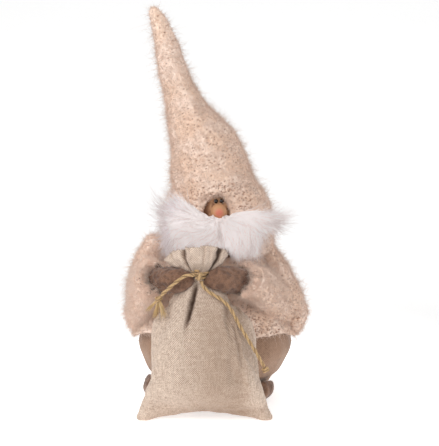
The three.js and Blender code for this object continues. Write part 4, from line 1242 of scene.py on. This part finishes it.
def front_of(skins):
    """How far forward the hair's surface is at each place seen from the front, hollows bridged over."""
    cell, low = 4.0 * mm, np.array((-92, 152)) * mm
    columns, rows = 47, 21
    index = np.clip(((skins[:, [0, 2]] - low) / cell).astype(int), 0, (columns - 1, rows - 1))
    depth = np.full((columns, rows), -20 * mm)
    np.minimum.at(depth, (index[:, 0], index[:, 1]), skins[:, 1])

    def around(grid, choose):
        wide = np.pad(grid, 1, mode="edge")
        return choose([wide[i:i + columns, j:j + rows] for i in range(3) for j in range(3)], axis=0)

    for choose in [np.min] * 5 + [np.max] * 2 + [np.mean]:
        depth = around(depth, choose)

    def at(points):
        share = np.clip((points[..., [0, 2]] - low) / cell - 0.5, 0, (columns - 1.01, rows - 1.01))
        column, row = share[..., 0].astype(int), share[..., 1].astype(int)
        right, up = share[..., 0] - column, share[..., 1] - row
        under = depth[column, row] * (1 - right) + depth[column + 1, row] * right
        over = depth[column, row + 1] * (1 - right) + depth[column + 1, row + 1] * right
        return under * (1 - up) + over * up

    return at


def gathered(spines, lock, pull):
    """Hairs drawn together into their locks towards the tips."""
    lead = spines[lock]
    share = np.linspace(0, 1, spines.shape[1])[None, :, None] ** 1.4
    apart = (spines[:, :1] - lead[:, :1]) * 0.3
    return spines + (lead + apart - spines) * share * pull


def make_fur(name, node, finish, seed, front_at):
    """White hair over a soft core, combed away from the parting under the nose and downwards."""
    core = copy_of(name, [node], 1.5, 8)
    points = points_of(core) - normals_of(core) * 2.2 * mm
    across, down = seen_at(points)
    points[:, 0] += (np.clip(across, *fur_core_px) - across) * 0.8 * pixel_size
    squeeze = ramp(across, *fur_end_px) * 0.6
    points[:, 2] += (down - nose_low_px) * squeeze * pixel_size
    points[:, 2] += 6 * mm * ramp(across, *fur_raised_px) * (1 - ramp(down, *fur_raised_low_px))
    points[:, 2] += 4.5 * mm * ramp(down, *fur_hem_px)
    points[:, 2] -= 3.5 * mm * (1 - ramp(down, *fur_sunk_low_px)) * ramp(across, *fur_sunk_px)
    move_to(core, points)
    # The bare core is painted greyer, as shade under the hair.
    paint(core, "tone", np.full(len(points), 0.3))
    paint(core, "along", np.full(len(points), 0.2))
    roots, normals = roots_on(core, 1.25, seed)
    keep = (normals[:, 1] < 0.35) & in_fur(roots - np.array((0, 0, 1.5 * mm)))
    roots = roots[keep]
    draw = np.random.default_rng(seed + 1)
    lock = lock_of(roots[:, None], 11)
    across, down = seen_at(roots)
    outer = ramp(np.abs(across - fur_middle_px), 26, 50)
    stray = draw.random(len(roots)) < 0.05 + 0.2 * outer
    lift = draw.uniform(0.3, 3.4, len(roots)) + 2 * stray
    lean = draw.normal(size=len(roots)) * np.where(stray, 20, 7) + draw.normal(size=len(roots))[lock] * 8
    upper = (1 - ramp(down, *fur_flat_low_px)) * ramp(across, *fur_flat_px)
    lean -= upper * np.abs(draw.normal(size=len(roots))) * 20
    length = draw.uniform(17, 30, len(roots)) * draw.uniform(0.8, 1.15, len(roots))[lock]
    spines = [roots]
    steps = 5
    for _ in range(steps):
        here = spines[-1]
        angle = np.radians(fur_angle(here) + lean)
        side = np.where(seen_at(here)[0] > parting_px, 1, -1)
        ahead = np.column_stack([side * np.cos(angle), np.zeros(len(here)), -np.sin(angle)])
        spines.append(here + ahead * (length / steps)[:, None] * mm)
    spines = np.stack(spines, axis=1)
    inside = in_fur(spines).cumprod(axis=1).sum(axis=1) / (steps + 1)
    ragged = draw.exponential(2.4, len(roots)) + draw.exponential(2.2, len(roots))[lock]
    ragged += stray * draw.uniform(3, 22, len(roots))
    share = np.clip(inside + (ragged - 2) / length, 0.12, 1.9)
    spines = roots[:, None] + (spines - roots[:, None]) * share[:, None, None]
    rise = np.linspace(0, 1, steps + 1)[None]
    spines[:, 1:, 1] = (front_at(spines) - (0.4 + lift[:, None] * np.sin(rise * 2.2)) * mm)[:, 1:]
    spines = gathered(spines, lock, 0.45 * (1 - stray)[:, None, None])
    tones = 0.45 * draw.random(len(spines))[lock] + 0.55 * draw.random(len(spines))
    # Painted shade: hairs along the parting under the nose get a darker tone; stray hairs get a darker tone
    # too.
    parted = np.exp(-((across - fur_split_px) / 1.6) ** 2) * (down < fur_split_low_px)
    tones = np.clip(tones + 0.45 * parted + 0.5 * stray, 0, 1.2)
    hair = strands("hair", spines, "fur", tones)
    place_on(joined(name, [core, hair]), finish, node)


def make_beard(finish):
    """Both halves of the moustache and the beard, over one surface that they share."""
    names = {"moustache_fur_left": "moustache_left", "moustache_fur_right": "moustache_right",
             "beard_fur": "beard"}
    skins = []
    for node in names.values():
        sample = copy_of("sample", [node], 2.0, 8)
        points, normals = points_of(sample), normals_of(sample)
        skins.append(points[normals[:, 1] < -0.05])
        bpy.data.objects.remove(sample)
    front_at = front_of(np.concatenate(skins))
    for count, (name, node) in enumerate(names.items()):
        make_fur(name, node, finish, 71 + 2 * count, front_at)


# Head
def make_head(felt):
    """The head's felt, painted in shade but for the lit strip that shows above the nose."""
    head = copy_of("head_felt", ["head_skin"], 1.5, 14)
    across, down = seen_at(points_of(head))
    lit = ramp(across, *lit_left_px) * (1 - ramp(across, *lit_right_px)) * ramp(down, *lit_top_px)
    paint(head, "shade", 1 - lit)
    place_on(head, felt, "head_skin")


def ball(name, centre, radius, squash, finish, node):
    """A turned ball, a little off round, with a flat at the back where it is glued."""
    bpy.ops.mesh.primitive_uv_sphere_add(
        segments=40, ring_count=24, radius=radius * mm, location=Vector(centre) * mm
    )
    piece = bpy.context.active_object
    piece.name = name
    bpy.ops.object.mode_set(mode="EDIT")
    bpy.ops.mesh.select_all(action="SELECT")
    bpy.ops.transform.resize(value=squash, center_override=Vector(centre) * mm)
    glued = (centre[0] * mm, (centre[1] + radius * squash[1] * 0.86) * mm, centre[2] * mm)
    bpy.ops.mesh.bisect(plane_co=glued, plane_no=(0, 1, 0), clear_outer=True, use_fill=True)
    bpy.ops.object.mode_set(mode="OBJECT")
    bpy.ops.object.transform_apply(location=True, rotation=True, scale=True)
    piece.select_set(False)
    place_on(piece, finish, node)


def make_face():
    """The nose and the two eyes."""
    ball("nose_ball", tuple(nose_centre), 8.4, (1, 0.95, 1), nose_finish(), "nose")
    bead = bead_finish()
    for side in ("left", "right"):
        low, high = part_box(f"eye_{side}")
        centre = tuple((low + high) / 2 / mm + Vector((0, -0.3, -1.5)))
        ball(f"eye_bead_{side}", centre, 2.3, (1, 0.9, 1), bead, f"eye_{side}")


# Mittens and feet
def make_felt_piece(name, node, finish, seed, nap_length):
    """A stuffed felt piece with soft dents and a short nap."""
    piece = copy_of(name, [node], 0.9, 16)
    points, normals = points_of(piece), normals_of(piece)
    dents = 0.3 * waves(points, 15 * mm, seed) + 0.15 * waves(points, 5 * mm, seed + 1)
    if node.startswith("mitten"):
        outward = (points[:, 0] - points[:, 0].mean()) * signs[node[7:]] / mm
        points[:, 1] += 5 * ramp(outward, 8, 25) * mm
        dents *= 2.2
    floor_share = ramp(points[:, 2] / mm, 0.5, 4)
    move_to(piece, points + normals * (dents * floor_share)[:, None] * mm)
    # Here 'shade' holds only random darker patches of the felt, not light.
    paint(piece, "shade", np.clip(0.35 * waves(points, 9 * mm, seed + 2), 0, 0.5))
    roots, normals = roots_on(piece, 0.9, seed + 3)
    above = roots[:, 2] > 2 * mm
    hairs = pile_spines(roots[above], normals[above], nap_length, seed + 4, 1.1)
    place_on(joined(name, [piece, strands("nap", hairs, "nap")]), finish, node)


# Body
def tapered(points):
    """The stuffed body drawn in near its foot, as the photograph shows it."""
    high = points[:, 2] / mm
    right = np.interp(high, body_taper_stops, body_taper_right)
    left = np.interp(high, body_taper_stops, body_taper_left)
    share = left + (right - left) * ramp(points[:, 0] / mm, -30, 30)
    return points * np.column_stack([share, share, np.ones(len(points))])


def make_body(finish):
    """The stuffed body, its bottom panel and the bag of sand in it."""
    body = copy_of("body_linen", ["body_cover", "body_filling", "weight_bag"], 2.0, 12)
    points = tapered(points_of(body))
    move_to(body, points)
    paint(body, "around", np.arctan2(points[:, 0], -points[:, 1]) * body_radius * mm)
    paint(body, "along", points[:, 2])
    place_on(body, finish, "body_cover")
    for name, node in (("bottom_linen", "base_panel"), ("sand_bag", "weight_bag")):
        panel = copy_of(name, [node], 0.9 if node == "base_panel" else 2.0, 4)
        points = points_of(panel) * (0.86, 0.86, 1) if node == "weight_bag" else points_of(panel)
        move_to(panel, points)
        paint(panel, "around", points[:, 0])
        paint(panel, "along", points[:, 1])
        place_on(panel, finish, node)


# Sack
def pleat(points, start, end, width):
    """How near each point is to the line of a pleat on the front, and on which side."""
    start, end = np.array(start, float), np.array(end, float)
    flat = points[:, [0, 2]]
    length = np.linalg.norm(end - start)
    way = (end - start) / length
    share = (flat - start) @ way / length
    side = (flat - start) @ np.array((way[1], -way[0]))
    return side, ramp(share, -0.15, 0.1) * (1 - ramp(share, 0.6, 1.25)) * np.exp(-((side / width) ** 2))


def blown_up(piece, free, pressure, swell, most):
    """Lets the piece fill out as cloth under pressure, where it is free, by no more than some millimetres."""
    start = points_of(piece)
    held = piece.vertex_groups.new(name="held")
    for index, share in enumerate(1 - free):
        held.add([index], float(share), "REPLACE")
    cloth = modify(piece, "CLOTH")
    settle(
        cloth.settings, quality=5, mass=0.15, tension_stiffness=12, compression_stiffness=12,
        shear_stiffness=4, bending_stiffness=0.15, use_pressure=True,
        uniform_pressure_force=pressure, shrink_min=-swell, vertex_group_mass="held",
    )
    cloth.settings.effector_weights.gravity = 0
    for frame_number in range(1, cloth_steps + 1):
        bpy.context.scene.frame_set(frame_number)
    shaped = piece.evaluated_get(bpy.context.evaluated_depsgraph_get())
    move = points_of(shaped) - start
    far = np.linalg.norm(move, axis=1)
    move *= np.minimum(1, most * mm / np.maximum(far, 1e-9))[:, None]
    piece.modifiers.remove(cloth)
    bpy.context.scene.frame_set(1)
    move_to(piece, start + move * free[:, None])


def make_sack(finish):
    """The sack's cloth, blown up, then creased below the twine and along two pleats."""
    bag = copy_of("sack_bag", ["sack_cloth", "sack_filling"], 1.0, 3)
    cut(bag, (0, 0, 155.5), (0, 0, 1))
    keep_largest(bag)
    evened(bag, 2.4, 2)
    points, normals = points_of(bag), normals_of(bag)
    free = (1 - ramp(points[:, 2] / mm, 128, 150)) * ramp(points[:, 2] / mm, 1.0, 14)
    move_to(bag, points - normals * (1.0 * free)[:, None] * mm)
    blown_up(bag, free, 3.0, 0.05, 6)
    refined(bag)
    points, normals = points_of(bag) / mm, normals_of(bag)
    wider = 1 + 0.085 * ramp(points[:, 2], 8, 40) * (1 - ramp(points[:, 2], 105, 140))
    points[:, 0] = sack_middle + (points[:, 0] - sack_middle) * wider
    middle = 1 - np.clip((points[:, 0] - sack_middle) / 62, -1, 1) ** 2
    back = (11 + 6 * middle) * (1 - ramp(points[:, 2], 0, 46)) * ramp(-points[:, 1], 88, 118)
    points[:, 1] += back
    front = ramp(-normals[:, 1], 0.0, 0.5)
    from_neck = np.linalg.norm(points - neck_centre, axis=1)
    angle = np.arctan2(points[:, 0] - neck_centre[0], neck_centre[2] - points[:, 2])
    gathers = np.cos(angle * 9 + 1.3 * waves(points, 60, 81)) * np.exp(-from_neck / 16)
    side, near = pleat(points, (-20.7, 143.0), (-31.5, 106.0), 10)
    sunk = hill(side, -1.5, 2.2) * near * front
    raised = hill(side, 4.5, 5.0) * near * front
    side_two, near_two = pleat(points, (8.0, 135.0), (27.0, 112.0), 8)
    sunk_two = hill(side_two, -3.0, 2.4) * near_two * front
    raised_two = hill(side_two, -9.0, 4.5) * near_two * front
    height = 1.2 * gathers - 6.5 * sunk + 2.8 * raised - 4.0 * sunk_two + 1.8 * raised_two
    height += 0.5 * waves(points, 40, 82) * front + 0.2 * waves(points, 13, 83)
    height *= ramp(points[:, 2], 1.0, 8.0)
    ear = ramp(np.abs(points[:, 0] + 10), 48, 66) * (1 - ramp(points[:, 2], 14, 36))
    points += normals * (height + 2.6 * ear)[:, None]
    points[:, 2] = np.maximum(points[:, 2], floor_gap)
    move_to(bag, points * mm)
    # The sunk pleats are painted darker, as shade in the creases.
    paint(bag, "crease_shade", np.clip(sunk * 1.2 + sunk_two * 1.0, 0, 1))
    place_on(bag, finish, "sack_cloth")


def make_frill(finish):
    """The sack's gathered mouth above the twine: one band of cloth in deep folds."""
    around, up = 240, 18
    turn = np.linspace(-math.pi, math.pi, around, endpoint=False)[None]
    degrees = np.degrees(turn)
    rise = np.linspace(0, 1, up)[:, None]
    fold = 0.6 + 0.5 * np.cos(6 * turn + 1) * ramp(np.abs(degrees), 75, 110)
    fold = fold - 1.9 * hill(degrees, -31, 5) - 0.5 * hill(degrees, -14, 6) - 0.7 * hill(degrees, 9, 5)
    fold = fold - 2.6 * hill(degrees, 47, 7) - 0.35 * hill(degrees, 27, 5) - 0.8 * hill(degrees, -60, 8)
    across_room = np.where(turn > 0, 25, 31)
    spread = rise**0.62
    lean = turn + 0.05 * rise * np.sin(9 * turn)
    curl = 7 * rise**3 * (1 + 0.3 * np.sin(5 * turn))
    x = neck_centre[0] + (7.4 + across_room * spread * (1 + 0.07 * fold) - curl * 0.6) * np.sin(lean)
    y = neck_centre[1] + 1.0 - (7.4 + spread * (10.5 + 5.5 * fold) - curl) * np.cos(lean)
    top = np.interp(degrees, *frill_top_line) + 1.2 * fold
    z = 154.5 + top * rise**0.9
    points = np.stack([x, y, z], axis=-1).reshape(-1, 3) * mm
    points += np.column_stack([waves(points, 9 * mm, seed) for seed in (91, 92, 93)]) * 0.7 * mm
    faces = [(near, far, far + around, near + around) for near, far in wall_pairs(up, around)]
    frill = piece_from("sack_frill", points, np.array(faces))
    # Painted shade: darker in the folds, low down near the twine and in the opening.
    opening = hill(degrees, 47, 7) * ramp(rise, 0.12, 0.4) * 1.3
    shaded = 0.55 * ramp(-fold, 0.1, 1.4) + 0.4 * (1 - rise) ** 3 + opening
    paint(frill, "crease_shade", np.clip(shaded.ravel(), 0, 1))
    modify(frill, "SOLIDIFY", thickness=1.2 * mm, offset=0)
    refined(frill)
    draw = np.random.default_rng(95)
    rim = points[-around:][draw.integers(0, around, 500)]
    ways = draw.normal(size=rim.shape) * 0.7 + (0, 0, 1)
    lengths = draw.uniform(1.0, 3.0, len(rim)) * mm
    frayed = spines_for(rim, ways, lengths, np.array((0, 0, -0.2)), 0.4, 3, draw)
    fray = strands("sack_fray", frayed, "fray")
    place_on(fray, finish)
    place_on(frill, finish)


# What lies inside
def make_stuffing(finish):
    """Loose fibre inside each stuffed piece."""
    for node in ("body_filling", "head_filling", "arm_left", "arm_right", "hat_filling_lower",
                 "hat_filling_middle", "sack_filling"):
        wad = copy_of(node.replace("filling", "wad").replace("arm", "arm_wad"), [node], 3.2, 5)
        points, normals = points_of(wad), normals_of(wad)
        if node.startswith("hat"):
            points = slimmed(points)
        if node == "body_filling":
            points = tapered(points)
        if node.startswith("arm"):
            wrist, elbow = (np.array(places[node[4:]], float) * mm for places in (wrists, elbows))
            near = ramp(-np.linalg.norm(points - wrist, axis=1) / mm, -30, -6)
            points += unit((elbow - wrist)[None]) * (near * 15)[:, None] * mm
        if node == "sack_filling":
            middle = points.mean(axis=0)
            points = middle + (points - middle) * (0.88, 0.6, 0.88) + (0, 4 * mm, 0)
        move_to(wad, points + normals * (0.35 * waves(points, 12 * mm, 99) - 0.8)[:, None] * mm)
        body = "hat_middle" if node == "hat_filling_middle" else "figure"
        place_on(wad, finish, node, body=body)


def finish_hard_nodes():
    """The board and the wire keep their own shapes and get real finishes."""
    board, steel = board_finish(), steel_finish()
    for node, finish in (("base_board", board), ("hat_wire_lower", steel), ("hat_wire_middle", steel),
                         ("hat_wire_tip", steel)):
        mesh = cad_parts[node].data
        mesh.materials.clear()
        mesh.materials.append(finish.material)


def make_figure():
    make_camera()
    make_cords(jute_finish())
    make_floor()
    make_lighting()
    knitted, grey = knit_finish(), cuff_finish()
    # Each pile glows a little, as painted light; the left sleeve's pile glows more, as painted light where
    # the key lamp falls on it.
    pile = (fuzz_finish("knit_pile", "knit", "fdeee4", "f2dccc", 0.45, "ead0bc", 0.07),
            fuzz_finish("knit_halo", "knit", "f1e0d4", "dac2b0", 0.3, None, 0.05))
    lit_sleeve_pile = (fuzz_finish("lit_sleeve_glow_pile", "knit", "fdeee4", "f2dccc", 0.45, "ead0bc", 0.16), pile[1])
    # The cuff pile's dark grey is painted shade, given by tone to the hairs near the mitten.
    cuff_pile = fuzz_finish("cuff_pile", "knit", "fdeadc", "5e5049", 0.45, None, 0.09)
    make_hat(knitted, pile)
    make_coat(knitted, pile)
    for side in ("left", "right"):
        make_sleeve(side, knitted, lit_sleeve_pile if side == "left" else pile)
        make_cuff(side, grey, cuff_pile)
    make_beard(fur_finish())
    make_head(felt_finish("face_felt", "face_felt", "80583e", "cfa07a", "e2b893"))
    make_face()
    brown = felt_finish("brown_felt", "felt", "5f4232", "84614b", "a07c65")
    for side in ("left", "right"):
        make_felt_piece(f"mitten_felt_{side}", f"mitten_{side}", brown, 101 + 7 * signs[side], 1.5)
        make_felt_piece(f"foot_felt_{side}", f"foot_{side}", brown, 121 + 7 * signs[side], 1.0)
    make_body(linen_finish())
    linen = sack_finish()
    make_sack(linen)
    make_frill(linen)
    make_stuffing(fibre_finish())
    finish_hard_nodes()


make_figure()
